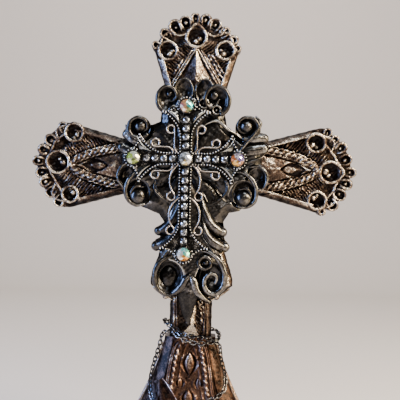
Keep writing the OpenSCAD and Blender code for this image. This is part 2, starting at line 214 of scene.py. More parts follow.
def ball(shape, centre, r, squash=(1, 1, 1), rows=8, cols=14, relief=(-0.5, 0.6)):
    """Ball whose poles face front and back."""
    lat = np.linspace(0, np.pi, rows + 1)
    lon = np.arange(cols) * 2 * np.pi / cols
    n = np.stack([np.sin(lat)[:, None] * np.cos(lon), -np.cos(lat)[:, None] * np.ones(cols),
                  np.sin(lat)[:, None] * np.sin(lon)], -1)
    verts = np.asarray(centre) + r * n * np.asarray(squash)
    # Brightest at the front pole and darkest at the back: rubbed wear, with a painted highlight on the
    # front and painted shade on the sides
    proud = relief[0] + (relief[1] - relief[0]) * ((1 - n[..., 1]) / 2) ** 3
    shape.add(verts, grid_faces(rows + 1, cols, wrap=True), proud)


def beads(shape, path, spacing, r):
    """Row of small balls that differ a little in size."""
    for p in even(path, spacing):
        ball(shape, p, r * rng.uniform(0.92, 1.08), rows=5, cols=8, relief=(-0.6, 0.8))


def distance_to_polygon(x, z, points):
    """Signed distance to a polygon, negative inside."""
    p = np.asarray(points, float)
    best = np.full(np.shape(x), 1e9)
    inside = np.zeros(np.shape(x), bool)
    for a, b in zip(p, np.roll(p, -1, 0)):
        e = b - a
        t = np.clip(((x - a[0]) * e[0] + (z - a[1]) * e[1]) / (e @ e), 0, 1)
        best = np.minimum(best, np.hypot(x - a[0] - t * e[0], z - a[1] - t * e[1]))
        cross = (a[1] > z) != (b[1] > z)
        with np.errstate(divide="ignore", invalid="ignore"):
            hit = x < (b[0] - a[0]) * (z - a[1]) / (b[1] - a[1]) + a[0]
        inside ^= cross & hit
    return np.where(inside, -best, best)


def blend_min(a, b, k):
    """The smaller of two distances, with a fillet of about k where they meet."""
    h = np.clip(0.5 + 0.5 * (b - a) / k, 0, 1)
    return b + (a - b) * h - k * h * (1 - h)


def blurred(height, mask, passes):
    """The height averaged with its neighbours, counting only points in the mask."""
    weight = mask.astype(float)
    value = np.where(mask, height, 0)
    for _ in range(passes):
        for axis in (0, 1):
            value = (np.roll(value, 1, axis) + 2 * value + np.roll(value, -1, axis)) / 4
            weight = (np.roll(weight, 1, axis) + 2 * weight + np.roll(weight, -1, axis)) / 4
    return value / np.maximum(weight, 1e-6)


def relief_plate(shape, distance, front, back, low, high, step, facing=1, tone=None):
    """Plate cut out where distance is negative, its face shaped by front(x, z), with walls
    down to the plane at back. Facing -1 turns it to the rear, and tone(x, z) is added to the
    relief that sets the patina and the painted light and shade."""
    xs, zs = np.arange(low[0], high[0], step), np.arange(low[1], high[1], step)
    x, z = np.meshgrid(xs, zs, indexing="ij")
    centre = distance(x[:-1, :-1] + step / 2, z[:-1, :-1] + step / 2) < 0
    cell = np.pad(centre, 1)
    around = np.stack([cell[1:, 1:], cell[:-1, 1:], cell[1:, :-1], cell[:-1, :-1]])
    used, edge = around.any(0), around.any(0) & ~around.all(0)
    ex, ez = x[edge], z[edge]
    for _ in range(3):
        d = distance(ex, ez)
        h = 0.05
        gx = (distance(ex + h, ez) - distance(ex - h, ez)) / (2 * h)
        gz = (distance(ex, ez + h) - distance(ex, ez - h)) / (2 * h)
        move = np.clip(d / (gx * gx + gz * gz + 1e-6), -step * 0.4, step * 0.4)
        ex, ez = ex - move * gx, ez - move * gz
    x[edge], z[edge] = ex, ez
    f = front(x, z)
    # Lower than its surroundings is darker and higher is brighter: patina in the recesses and rubbed
    # edges, with painted shade in the recesses
    proud = f - blurred(f, used, 14)
    if tone is not None:
        proud = proud + tone(x, z)
    index = np.full(used.shape, -1)
    index[used] = np.arange(used.sum())
    i, j = np.nonzero(centre)
    quads = np.stack([index[i, j], index[i + 1, j], index[i + 1, j + 1], index[i, j + 1]], -1)
    points = at(x[used], z[used], f[used] * facing)
    if facing < 0:
        quads = quads[:, ::-1]
    base = len(points)
    edge_points = index[edge]
    lower = np.full(base, -1)
    lower[edge_points] = base + np.arange(len(edge_points))
    half_edges = np.concatenate([quads[:, [k, (k + 1) % 4]] for k in range(4)])
    seen = {(a, b) for a, b in half_edges.tolist()}
    walls = [(b, a, lower[a], lower[b]) for a, b in seen
             if (b, a) not in seen and lower[a] >= 0 and lower[b] >= 0]
    rim = points[edge_points].copy()
    rim[:, 1] = -back * facing
    shape.add(np.vstack([points, rim]), quads.tolist() + walls,
              np.r_[proud[used], np.full(len(rim), -0.2)])


def leaf(shape, path, widths, bulge, drop, across=9, relief=(-0.3, 0.5), ridge=0.0):
    """Leaf or petal along the path: domed for a positive bulge, hollow for a negative one. Its
    sides drop away to the ground, and a ridge lifts its middle line."""
    path = np.asarray(path, float)
    widths = np.broadcast_to(np.asarray(widths, float), len(path))
    tangent = np.gradient(path, axis=0)
    tangent[:, 1] = 0
    tangent /= np.linalg.norm(tangent, axis=1)[:, None] + 1e-9
    side = np.cross(tangent, [0, -1.0, 0])
    s = np.r_[-1, np.sin(np.linspace(-1, 1, across) * np.pi / 2), 1]
    rise = bulge * (1 - s ** 2) + ridge * (1 - np.abs(s)) ** 2
    rise[0] = rise[-1] = -drop
    verts = path[:, None] + side[:, None] * (widths[:, None] * s)[..., None]
    scale = np.minimum(1, widths / (widths.max() + 1e-9) * 1.6)[:, None]
    verts[..., 1] -= np.where(rise[None] > 0, rise[None] * scale, rise[None])
    proud = np.where(np.abs(s) > 0.8, relief[1] if bulge < 0 else relief[0],
                     relief[0] if bulge < 0 else relief[1])
    proud = np.broadcast_to(proud, verts.shape[:2]).copy()
    proud[:, [0, -1]] = relief[0]
    n, m = verts.shape[:2]
    shape.add(verts, grid_faces(n, m)[:, ::-1], proud)

# ------------------------------------------------------------------ materials


def new_material(name):
    """A material with its nodes, its links and its main shader."""
    material = bpy.data.materials.new(name)
    material.use_nodes = True
    nodes, links = material.node_tree.nodes, material.node_tree.links
    return material, nodes, links, nodes["Principled BSDF"]


def ramp(nodes, links, source, stops):
    node = nodes.new("ShaderNodeValToRGB")
    elements = node.color_ramp.elements
    while len(elements) < len(stops):
        elements.new(0.5)
    for element, (place, colour) in zip(elements, stops):
        element.position = place
        element.color = (*colour, 1)
    links.new(source, node.inputs[0])
    return node.outputs[0]


def noise(nodes, links, scale, detail, roughness=0.6):
    """Noise in object space, its scale in features per metre."""
    node = nodes.new("ShaderNodeTexNoise")
    node.inputs["Scale"].default_value = scale
    node.inputs["Detail"].default_value = detail
    node.inputs["Roughness"].default_value = roughness
    links.new(nodes.new("ShaderNodeTexCoord").outputs["Object"], node.inputs["Vector"])
    return node.outputs["Fac"]


def maths(nodes, links, operation, a, b, c=0.0):
    node = nodes.new("ShaderNodeMath")
    node.operation = operation
    for socket, value in zip(node.inputs, (a, b, c)):
        if hasattr(value, "is_output"):
            links.new(value, socket)
        else:
            socket.default_value = value
    return node.outputs[0]


def cast_metal(name, recess, body, edge, rough, bump, grain=1400, patchy=0.35, spread=1.0,
               metallic=1.0, coat=0.0):
    """Antiqued casting: dark in the recesses with patina and painted shade, rubbed bright on the
    edges with the painted highlights that the relief carries, and with a fine cast skin.
    """
    material, nodes, links, shader = new_material(name)
    shader.inputs["Metallic"].default_value = metallic
    shader.inputs["Coat Weight"].default_value = coat
    shader.inputs["Coat Roughness"].default_value = 0.12
    proud = nodes.new("ShaderNodeAttribute")
    proud.attribute_name = "relief"
    coarse = noise(nodes, links, 220, 5)
    fine = noise(nodes, links, grain, 3)
    shifted = maths(nodes, links, "MULTIPLY_ADD", coarse, patchy * 4, -patchy * 2)
    speck = maths(nodes, links, "MULTIPLY_ADD", fine, patchy * 3, -patchy * 1.5)
    level = maths(nodes, links, "MULTIPLY_ADD", proud.outputs["Fac"], 0.5 / spread, 0.5)
    level = maths(nodes, links, "ADD", level, maths(nodes, links, "ADD", shifted, speck))
    mixed = [(a + b) / 2 for a, b in zip(recess, body)]
    colour = ramp(nodes, links, level, [(0.2, recess), (0.4, mixed), (0.6, body), (0.95, edge)])
    links.new(colour, shader.inputs["Base Color"])
    roughness = nodes.new("ShaderNodeMapRange")
    roughness.inputs["From Min"].default_value = 0.25
    roughness.inputs["From Max"].default_value = 0.8
    roughness.inputs["To Min"].default_value = rough[0]
    roughness.inputs["To Max"].default_value = rough[1]
    links.new(level, roughness.inputs["Value"])
    links.new(roughness.outputs[0], shader.inputs["Roughness"])
    skin = nodes.new("ShaderNodeBump")
    skin.inputs["Strength"].default_value = bump
    skin.inputs["Distance"].default_value = 0.0004
    links.new(maths(nodes, links, "ADD", maths(nodes, links, "MULTIPLY", coarse, 2.0), fine),
              skin.inputs["Height"])
    links.new(skin.outputs[0], shader.inputs["Normal"])
    return material


BRONZE = cast_metal("antique_bronze", (0.006, 0.0035, 0.003), (0.107, 0.070, 0.050),
                    (0.90, 0.77, 0.59), rough=(0.5, 0.22), grain=1100, bump=0.7, patchy=0.32,
                    coat=0.15)
FOOT_BRONZE = cast_metal("foot_bronze", (0.006, 0.003, 0.002), (0.105, 0.055, 0.036),
                         (0.76, 0.56, 0.42), rough=(0.42, 0.24), bump=0.4, patchy=0.24, coat=0.05)

# ------------------------------------------------------------------ cross casting

# Each arm: direction along and across it, length, and how it differs from its fellows, all
# measured across the arm and back from its tip
ARMS = {
    "up": dict(along=(0, 1), across=(1, 0), length=TOP_TIP,
               rings=[(-14.2, 19.5, 4.6), (14.2, 18.9, 4.5)],
               drop=(-0.2, 12.6, 4.9, 6.4),
               scallops=[(-20.2, 16.8, 2.1), (-15.9, 10.9, 2.6), (-11, 7.2, 3.3), (-5.9, 4.9, 3.1),
                         (-1, 2.7, 2.3), (4.3, 3.5, 2.7), (9.2, 5.8, 2.9), (14, 9.4, 2.5),
                         (18.2, 13.4, 2.3), (20.2, 17.6, 1.9)]),
    "right": dict(along=(1, 0), across=(0, -1), length=SIDE_TIP,
                  rings=[(-13.5, 20.5, 4.6), (14.9, 19.5, 4.4)],
                  drop=(0.9, 13.2, 5.2, 6.6),
                  scallops=[(-18.9, 14.6, 2.2), (-15.5, 11, 2.1), (-11.6, 7.6, 2.7),
                            (-5.6, 5.3, 3), (0.7, 2.9, 2.7), (6.7, 4.8, 2.7), (12, 7.8, 3),
                            (17.1, 11.6, 2.9), (20.4, 17, 1.9)]),
    "left": dict(along=(-1, 0), across=(0, 1), length=SIDE_TIP,
                 rings=[(16.1, 21, 4.5), (-14.4, 19.6, 4)],
                 drop=(1.4, 13.4, 5.4, 5.6),
                 scallops=[(18.9, 15.2, 2.5), (12.2, 9.2, 3), (7.4, 5.6, 2.6), (1.8, 2.9, 2.5),
                           (-4, 4.9, 2.8), (-8.9, 6.6, 2.5), (-13.8, 9.8, 2.7),
                           (-18.3, 14, 2.7)]),
}
ROOT_V, CORNER_V, CORNER_BACK = 12.6, 21.0, 19.0
# Where an arm's flanks start, measured out from the middle of the cross
ROOT_W = 31
# The rounded end of an arm: its centre, measured back from the tip, and its radius
END_BACK, END_R = 23.9, 21.3
SPEAR_BACK = 17.6
BEVEL_W = 3.2
BRIGHT_RIM = (-0.6, 0.62)
LENS_W, LENS_LEN, LENS_BACK = 10.6, 64.0, 19.6
LOW_CORNER, LOW_CORNER_V, NECK_HALF = 58.5, 20.3, 10.4


def arm_point(arm, u, back, f):
    """Point u across the arm and back from its tip."""
    along, across, w = arm["along"], arm["across"], arm["length"] - np.asarray(back, float)
    return at(np.asarray(u) * across[0] + w * along[0],
              ARMS_Z + np.asarray(u) * across[1] + w * along[1], f)


def arm_coords(arm, x, z):
    """How far a point lies across the arm, and out from the middle of the cross."""
    z = z - ARMS_Z
    return (x * arm["across"][0] + z * arm["across"][1],
            x * arm["along"][0] + z * arm["along"][1])


def flank_half(arm, back):
    """Half the arm's width at a distance back from its tip."""
    return np.interp(arm["length"] - back, [ROOT_W, arm["length"] - CORNER_BACK],
                     [ROOT_V, CORNER_V])


def arm_distance(arm, u, w):
    """Signed distance to the arm's outline: its flanks, rounded end and scallops."""
    length = arm["length"]
    flank = distance_to_polygon(u, w, [
        (-ROOT_V, 5), (-ROOT_V, ROOT_W), (-CORNER_V, length - CORNER_BACK),
        (-CORNER_V, length - 16), (CORNER_V, length - 16), (CORNER_V, length - CORNER_BACK),
        (ROOT_V, ROOT_W), (ROOT_V, 5)])
    cap = np.maximum(np.hypot(u, w - length + END_BACK) - END_R, np.abs(u) - CORNER_V)
    cap = np.maximum(cap, length - CORNER_BACK - w)
    d = np.minimum(flank, cap)
    for cu, back, r in arm["scallops"]:
        d = np.minimum(d, np.hypot(u - cu, w - length + back) - r)
    return d


def cross_distance(x, z):
    d = blend_min(np.hypot(x, z - ARMS_Z) - 26, distance_to_polygon(x, z - ARMS_Z, [
        (-ROOT_V, -20), (-ROOT_V, -ROOT_W), (-LOW_CORNER_V, -LOW_CORNER + 4),
        (-LOW_CORNER_V, -LOW_CORNER), (-NECK_HALF, -LOW_CORNER - 7), (-NECK_HALF, NECK_Z - ARMS_Z),
        (NECK_HALF, NECK_Z - ARMS_Z), (NECK_HALF, -LOW_CORNER - 7), (LOW_CORNER_V, -LOW_CORNER),
        (LOW_CORNER_V, -LOW_CORNER + 4), (ROOT_V, -ROOT_W), (ROOT_V, -20)]), 3)
    for arm in ARMS.values():
        d = blend_min(d, arm_distance(arm, *arm_coords(arm, x, z)), 1.5)
    return d


def lens_half(back):
    """Half the width of the lancet at a distance back from the arm's tip."""
    t = np.clip((back - LENS_BACK) / (LENS_LEN / 2), 0, 1)
    return LENS_W * np.sqrt(np.clip(1 - (1 - t) ** 2, 0, 1)) * (0.72 + 0.28 * t)


def lens_eye(u, back):
    """Positive inside the almond hollow of a lancet, and inside the boss that stands in it."""
    return (1 - np.abs(u) / 3.5 - (np.abs(back - 31.8) / 6.6) ** 1.8,
            1 - (u / 2.0) ** 2 - ((back - 33.4) / 4.0) ** 2)


def spear_half(back):
    """Half the width of the top arm's spear at a distance back from the tip."""
    return 0.58 * np.clip(back - SPEAR_BACK, 0, 40)


def arm_front(arm, name, u, w):
    length = arm["length"]
    back = length - w
    inside = (flank_half(arm, back) - np.abs(u)) * 0.985
    hatch = np.sin((np.abs(u) * 0.8 - w) * 2 * np.pi / 1.75 + 0.9 * np.sin(1.1 * u + 0.7 * w))
    hatch = hatch * np.abs(np.sin(np.abs(u) * 0.95 + w * 0.42 + 0.8 * np.sin(1.9 * w))) ** 0.6
    ground = 4.4 + 0.55 * hatch
    bevel = (4.1 + 2.2 * np.clip(inside / BEVEL_W, 0, 1) if name == "up"
             else 3.4 + 2.9 * smooth_step(inside / BEVEL_W) ** 0.8)
    f = np.where(inside < BEVEL_W, bevel,
                 ground + (6.3 - ground) * np.exp(-np.clip(inside - BEVEL_W, 0, 9) / 0.4))
    if name == "up":
        g = spear_half(back)
        share = np.clip(np.abs(u) / (g + 1e-6), 0, 3)
        leaf_f = 4.4 + 2.9 * np.clip(1 - share, 0, 1)
        f = np.where((share < 1) & (back > SPEAR_BACK), leaf_f, f)
    else:
        g = lens_half(back)
        edge = g - np.abs(u)
        lens = 4.9 + 2.1 * np.clip(1 - np.abs(u) / (np.maximum(g, 3) - 1.6), 0, 1)
        hollow, boss = lens_eye(u, back)
        lens = lens - 1.1 * smooth_step(hollow / 0.14) + 1.0 * smooth_step(boss / 0.5)
        f = np.where((edge > 0) & (back > LENS_BACK), lens, f)
        for groove in (-2.3, 2.8):
            f = f - 0.8 * np.exp(-((edge - groove) / 0.35) ** 2) * (back > LENS_BACK - 1)
    # The rounded end is sunk between its ribs
    reach = np.hypot(u, w - length + END_BACK)
    end = smooth_step((reach - 9 - 0.15 * np.abs(u)) / 3) * smooth_step((24.5 - back) / 3)
    f = f + (3.3 - f) * end
    for cu, cb, r in arm["rings"] + [arm["drop"][:3]]:
        d = np.hypot(u - cu, back - cb)
        f = np.where(d < r + 0.2, 2.0 + 1.6 * (d / r) ** 4, f)
    for cu, cb, r in arm["scallops"]:
        d = np.hypot(u - cu, back - cb)
        f = np.where(d < r, 2.4 + 1.9 * (d / r) ** 3, f)
    return f


def cross_patina_and_painted_light(x, z):
    """The hollows are dark with old patina and the grounds are darker than the borders. Painted
    light and shade as well: the right arm's lancet is painted lighter on its upper half and
    darker on its lower half and the left arm's a little darker, the left arm's bevels and boss
    carry painted shade, the top arm's bevels and the right half of its spear carry a painted
    highlight and its left half painted shade, and the middle round the arms carries the
    overlay's painted shadow. The neck below about z 104 is darker.
    """
    tone = np.zeros(np.shape(x))
    for name, arm in ARMS.items():
        u, w = arm_coords(arm, x, z)
        back = arm["length"] - w
        on_arm = (w > 30) & (np.abs(u) < w)
        end = smooth_step((np.hypot(u, END_BACK - back) - 9) / 3) * smooth_step((24.5 - back) / 3)
        tone = tone - 0.35 * end * on_arm
        half = spear_half(back) if name == "up" else lens_half(back) + 0.8
        ground = on_arm & (np.abs(u) > half) & (back > 17)
        tone = tone - 0.22 * ground
        if name != "up":
            hollow, boss = lens_eye(u, back)
            tone = tone - 0.5 * on_arm * (hollow > 0.02) * (boss < 0)
            inside = on_arm & (np.abs(u) < lens_half(back) - 2.3) & (hollow < 0)
            # Painted light on the lancet: the right one lighter above and darker below, the left one a
            # little darker
            tone = tone + inside * (0.14 * np.sign(-u) if name == "right" else -0.05)
        bevel = np.abs(u) > flank_half(arm, back) - BEVEL_W
        # Painted shade on the left arm's bevels and boss
        if name == "left":
            tone = tone - 0.25 * on_arm * (bevel | (boss > 0)) * (back > 19)
        # Painted highlight on the top arm's bevels and the right half of its spear, painted shade on
        # its left half
        if name == "up":
            tone = tone + 0.12 * on_arm * bevel * (back > 19)
            spear_face = on_arm & (np.abs(u) < half) & (back > SPEAR_BACK)
            tone = tone + spear_face * np.where(u > 0, 0.4, -0.2)
        for cu, cb, r in arm["rings"] + [arm["drop"][:3]]:
            hollow = smooth_step((r - 0.3 - np.hypot(u - cu, back - cb)) / 1.2) * on_arm
            tone = tone - (0.75 + tone) * hollow
        for cu, cb, r in arm["scallops"]:
            hollow = smooth_step((r - 0.4 - np.hypot(u - cu, back - cb)) / 0.8) * on_arm
            tone = tone - (0.7 + tone) * hollow
    # Painted shadow of the overlay round the middle of the cross
    tone = tone - 0.5 * smooth_step((32 - np.hypot(x, z - ARMS_Z)) / 3)
    # Darker below about z 104
    return tone - 0.5 * smooth_step((104 - z) / 4)


def cross_front(x, z):
    dz = z - ARMS_Z
    d = -cross_distance(x, np.maximum(z, NECK_Z + 6))
    # Neck and lower arm: a sunk panel between two sloping borders
    panel = 4.2 + 0.25 * np.sin((x * 0.9 + z) * 2 * np.pi / 1.7) * (x > 1)
    border = smooth_step(d / 2.6)
    f = np.where(d < 2.6, 3.1 + 2.6 * border, panel + (5.6 - panel) * np.exp(-(d - 2.6) / 0.4))
    f = np.where(z < NECK_Z + 18, np.minimum(f, 5.4), f)
    sector = {"up": (dz > np.abs(x)), "right": (x > np.abs(dz)), "left": (-x > np.abs(dz))}
    for name, arm in ARMS.items():
        u, w = arm_coords(arm, x, z)
        f = np.where(sector[name] & (w > 20), arm_front(arm, name, u, w), f)
    edge = -cross_distance(x, z)
    return np.where(edge < 0.5, f - 0.5 * (1 - np.clip(edge, 0, 0.5) / 0.5) ** 2, f)


def cross_back(x, z):
    """Plain back, a little domed, with a sunk field inside a flat border."""
    d = -cross_distance(x, z)
    return 3.6 + 1.1 * smooth_step(d / 1.6) - 0.7 * smooth_step((d - 3.6) / 1.2)


def back_tone(x, z):
    """The back was never rubbed bright, apart from its border."""
    return -0.28 + 0.25 * smooth_step((3.4 + cross_distance(x, z)) / 1.5)


def drop_path(u, back, r, reach):
    """Outline of a drop whose point is towards the arm's tip, as (across, back) pairs."""
    a = np.linspace(-np.pi, np.pi, 44, endpoint=False)
    rr = r * (1 + (reach / r - 1) * np.exp(-(a / 0.42) ** 2))
    return u + rr * np.sin(a), back - rr * np.cos(a)


def scallop_rim(shape, arm, cu, cb, r, wire):
    """U-shaped rim, open towards the middle of the rounded end, with legs that run inwards."""
    away = math.atan2(cu, END_BACK - cb)
    a = np.radians(np.linspace(-108, 108, 17))
    pu, pw = r * np.sin(a), r * np.cos(a)
    leg = np.array([[-r * 0.5, -2.6], [-r * 0.8, -1.4]])
    pu = np.r_[leg[:, 0], pu, -leg[::-1, 0]]
    pw = np.r_[leg[:, 1] - r * 0.4, pw, leg[::-1, 1] - r * 0.4]
    u = cu + pu * math.cos(away) + pw * math.sin(away)
    back = cb - (pw * math.cos(away) - pu * math.sin(away))
    f = np.full(len(u), 5.0)
    f[:2], f[-2:] = (4.0, 4.7), (4.7, 4.0)
    radius = np.full(len(u), wire)
    radius[[0, -1]] = wire * 0.5
    tube(shape, curve(arm_point(arm, u, back, f), 40), stretched(radius, 40), relief=BRIGHT_RIM)


def rope_border(shape, path, radius):
    """Rope laid along the path as a border."""
    tube(shape, even(path, 0.26), radius, sides=12, rope=True, relief=(-0.5, 0.35))


def build_cross():
    shape = Shape()
    low, high = (-SIDE_TIP - 1, NECK_Z), (SIDE_TIP + 1, ARMS_Z + TOP_TIP + 1)
    relief_plate(shape, cross_distance, cross_front, -4.6, low, high, 0.36,
                 tone=cross_patina_and_painted_light)
    relief_plate(shape, cross_distance, cross_back, -3.0, low, high, 0.7, facing=-1,
                 tone=back_tone)
    for name, arm in ARMS.items():
        length = arm["length"]
        for cu, cb, r in arm["rings"]:
            ring = circle_path(0, 0, r - 0.1, 0, count=40)
            tube(shape, arm_point(arm, cu + ring[:, 0], cb + ring[:, 2], 5.9), 0.78, sides=12,
                 closed=True, relief=BRIGHT_RIM)
            ball(shape, arm_point(arm, cu * 0.93, cb + r * 0.34, 3.5), 1.8, relief=(-0.4, 0.8))
            ball(shape, arm_point(arm, cu * 0.85, cb - r * 0.05, 3.1), 1.2, relief=(-0.4, 0.8))
        u, back = drop_path(*arm["drop"])
        tube(shape, arm_point(arm, u, back, 5.9), 0.82, sides=12, closed=True,
             relief=BRIGHT_RIM)
        du, db, dr, point = arm["drop"]
        ball(shape, arm_point(arm, du - 0.3, db + dr * 0.42, 3.6), 1.9, relief=(-0.4, 0.8))
        ball(shape, arm_point(arm, du + 1.6, db + dr * 0.1, 3.2), 1.3, relief=(-0.4, 0.8))
        for k, (cu, cb, r) in enumerate(arm["scallops"]):
            scallop_rim(shape, arm, cu, cb, r - 0.5, 0.5 + 0.12 * (k % 3))
            ball(shape, arm_point(arm, cu * 0.96, cb + 0.5, 3.7), 0.75 + 0.35 * (k % 2),
                 relief=(-0.6, 0.7))
        # Ribs that run from the rings up to the drop's point
        tip_u, tip_b = du, db - point - 0.3
        for ring_u, ring_b, ring_r in arm["rings"]:
            s = math.copysign(1, ring_u - du)
            path = [(ring_u - s * 0.6, ring_b - ring_r * 0.98), (ring_u * 0.62 + du, db - 1.6),
                    (du + s * (dr + 0.3), db - dr * 0.62), (tip_u + s * 0.7, tip_b)]
            if name == "up":
                path = [(s * 14.0, 8.2), (s * 12.2, 10.8), (s * 8.2, 11.9), (s * 4.4, 10.3)]
            path = arm_point(arm, *np.transpose(path), [5.4, 5.3, 5.5, 5.9])
            tube(shape, curve(path, 30), 0.6, relief=BRIGHT_RIM)
            path = [(ring_u + s * ring_r, ring_b - ring_r * 0.2), (ring_u + s * 2.4, ring_b - 7.2),
                    (ring_u - s * 0.4, ring_b - 9.0), (ring_u - s * 4.5, ring_b - 7.6)]
            tube(shape, curve(arm_point(arm, *np.transpose(path), [5.2, 4.9, 4.9, 5.2]), 24), 0.55)
        # Ridge along the top of each flank, rubbed bright and with a painted highlight, but darker on
        # the left arm with painted shade
        for s in (-1, 1):
            path = [(s * (ROOT_V - BEVEL_W - 0.4), length - 29),
                    (s * (CORNER_V - BEVEL_W - 0.6), CORNER_BACK + 2.5)]
            tube(shape, even(arm_point(arm, *np.transpose(path), 6.05), 1.0), 0.4,
                 relief=(-0.5, 0.3) if name == "left" else (-0.3, 0.9))
        if name == "up":
            spear(shape, arm)
        else:
            for s in (-1, 1):
                back = LENS_BACK + (np.linspace(0, 1, 30) ** 1.6) * 26
                half = lens_half(back)
                rope_border(shape, arm_point(arm, s * (half - 0.3), back, 5.7), 1.2)
                rope_border(shape, arm_point(arm, s * np.clip(half - 1.9, 0, 99)[6:], back[6:], 5.5),
                            0.6)
                rope_border(shape, arm_point(arm, s * (half + 1.5), back, 5.1), 0.55)
    neck(shape)
    shape.piece("cross_casting", BRONZE, replaces=["cross_body"], slot="bronze_casting",
                uneven=0.12)


def spear(shape, arm):
    """Two plain outlines beside the top arm's spear, and roped rays on its right."""
    for s in (-1, 1):
        for grow, wire in ((0.0, 0.55), (2.6, 0.4)):
            back = np.linspace(17.8 + grow * 0.6, 38, 24)
            tube(shape, arm_point(arm, s * (spear_half(back) + grow * 0.55), back, 5.7), wire)
    for k in range(3):
        back = np.linspace(20 + 0.6 * k, 38, 40)
        u = spear_half(back) * (1 + 0.05 * k) + 2.2 + 1.6 * k
        inside = u < flank_half(arm, back) - BEVEL_W - 0.5
        rope_border(shape, arm_point(arm, u[inside], back[inside], 5.3), 0.5)
    back = np.linspace(24, 31, 16)
    rope_border(shape, arm_point(arm, -spear_half(back) - 3.2, back, 5.2), 0.6)


def neck(shape):
    """Below the lower arm: a raised point, ribs beside it and beads at the corners."""
    leaf(shape, even([(0.3, -4.2, 98), (0.3, -5.2, 92), (0.2, -5.2, 86)], 1), [2.4] * 13, 0.9, 0.6,
         ridge=0.8)
    for s in (-1, 1):
        tube(shape, even(at([s * 7.3, s * 7.0, s * 6.6], [100, 92, 80.5], 5.2), 0.8), 0.45,
             relief=(-0.7, 0.1))
        tube(shape, curve(at([s * 18.5, s * 14.5, s * 9.5], [103.4, 100.2, 97.6], 4.9), 16), 0.6)
        ball(shape, (s * 12.5, -4.6, 99.3), 1.7)
    rope_border(shape, at([3.4, 5.2, 5.6], [97, 92, 86], 4.7), 0.7)
    rope_border(shape, at([4.8, 6.5, 6.9], [98, 92, 86], 4.7), 0.6)
    # Plain raised triangle just above the chain
    corners = np.array([(-4.6, 80.6), (0.9, 86.4), (4.4, 79.9)])
    ridge = at(corners.mean(0)[0], corners.mean(0)[1], 6.6)[None]
    top, foot = at(corners[:, 0], corners[:, 1], 5.9), at(corners[:, 0], corners[:, 1], 4.4)
    shape.add(np.vstack([top, foot, ridge]),
              [(6, 1, 0), (6, 2, 1), (6, 0, 2), (0, 1, 4, 3), (1, 2, 5, 4), (2, 0, 3, 5)], 0.9)


build_cross()

# ------------------------------------------------------------------ foot casting

FOOT_TOP, PLINTH_TOP = FOOT_HIGH[2], FOOT_LOW[2] + 7.5
PANEL_TOP = FOOT_TOP - 1.6
WAIST_HALF, FLARE_HALF, FLARE_POWER, DEPTH_SHARE = 12.6, 46.0, 1.35, 0.674
# Share of the half width and half depth, added up, at which the corners are cut
CORNER_CUT = 1.62


def flare(z):
    """Half the foot's width at height z."""
    t = np.clip((FOOT_TOP - z) / (FOOT_TOP - PLINTH_TOP), 0, 1)
    return WAIST_HALF + (FLARE_HALF - WAIST_HALF) * t ** FLARE_POWER


def panel_half(z):
    """Half the width of the pointed panel on the front, which opens downwards."""
    down = np.clip(PANEL_TOP - z, 0, 99)
    return 3.0 * down ** 0.3 + 0.15 * np.clip(down - 22, 0, 99)


def almond(x, z, cx, cz, half_w, half_h):
    """Positive inside an almond standing on its point, 1 at its middle."""
    t = np.clip(np.abs(z - cz) / half_h, 0, 1.4)
    return 1 - np.abs(x - cx) / (half_w * np.clip(1 - t ** 1.7, 0.02, 1)) - t ** 4


def panel_relief(x, z):
    """Carving on the foot's broad faces, as height over the plain surface in millimetres."""
    edge = panel_half(z) - np.abs(x)
    h = np.where(edge > 0, -0.6, 0.0) - 0.5 * np.exp(-((edge + 3.6) / 0.5) ** 2)
    h = h + 0.35 * np.exp(-((edge - 2.0) / 0.35) ** 2)
    tall = almond(x, z, 0, 67.0, 2.9, 6.4)
    h = h - 0.7 * np.exp(-((tall - 0.02) / 0.16) ** 2) + 0.75 * smooth_step(tall / 0.7)
    h = h + 0.55 * np.exp(-((tall + 0.55) / 0.18) ** 2) * (edge > 1.4)
    for s in (-1, 1):
        small = almond(x, z, s * 4.6, 57.8, 1.6, 3.3)
        h = h - 0.6 * np.exp(-((small - 0.05) / 0.2) ** 2) + 0.5 * smooth_step(small / 0.7)
        h = h + 0.4 * np.exp(-((small + 0.7) / 0.25) ** 2) * (edge > 1.2)
    low = almond(x, z, -0.4, 50.6, 2.6, 5.4)
    h = h - 0.7 * np.exp(-((low - 0.02) / 0.18) ** 2) + 0.7 * smooth_step(low / 0.7)
    h = h + 0.45 * np.exp(-((low + 0.5) / 0.2) ** 2)
    for s in (-1, 1):
        for cz, size in ((38, 1.0), (26, 1.3)):
            side = almond(x, z, s * (9 + (38 - cz) * 0.45), cz, 3.2 * size, 5.5)
            h = h - 0.7 * np.exp(-((side - 0.02) / 0.18) ** 2) + 0.8 * smooth_step(side / 0.7)
    return h


def foot_ring(z, count):
    """Outline of the foot at height z: a rectangle with broad cut corners, as points with the
    angle they face."""
    a, b = flare(z), flare(z) * DEPTH_SHARE
    s = np.linspace(0, 1, count, endpoint=False) * 2 * np.pi
    # Finer steps on the front and back, where the carving is
    s = s - 0.32 * np.sin(2 * s)
    c, n = np.cos(s), np.sin(s)
    box = 1 / np.maximum(np.abs(c), np.abs(n))
    cut = CORNER_CUT / (np.abs(c) + np.abs(n))
    sharpness = 26
    reach = -np.log(np.exp(-sharpness * box) + np.exp(-sharpness * cut)) / sharpness
    return a * reach * c, -b * reach * n, n


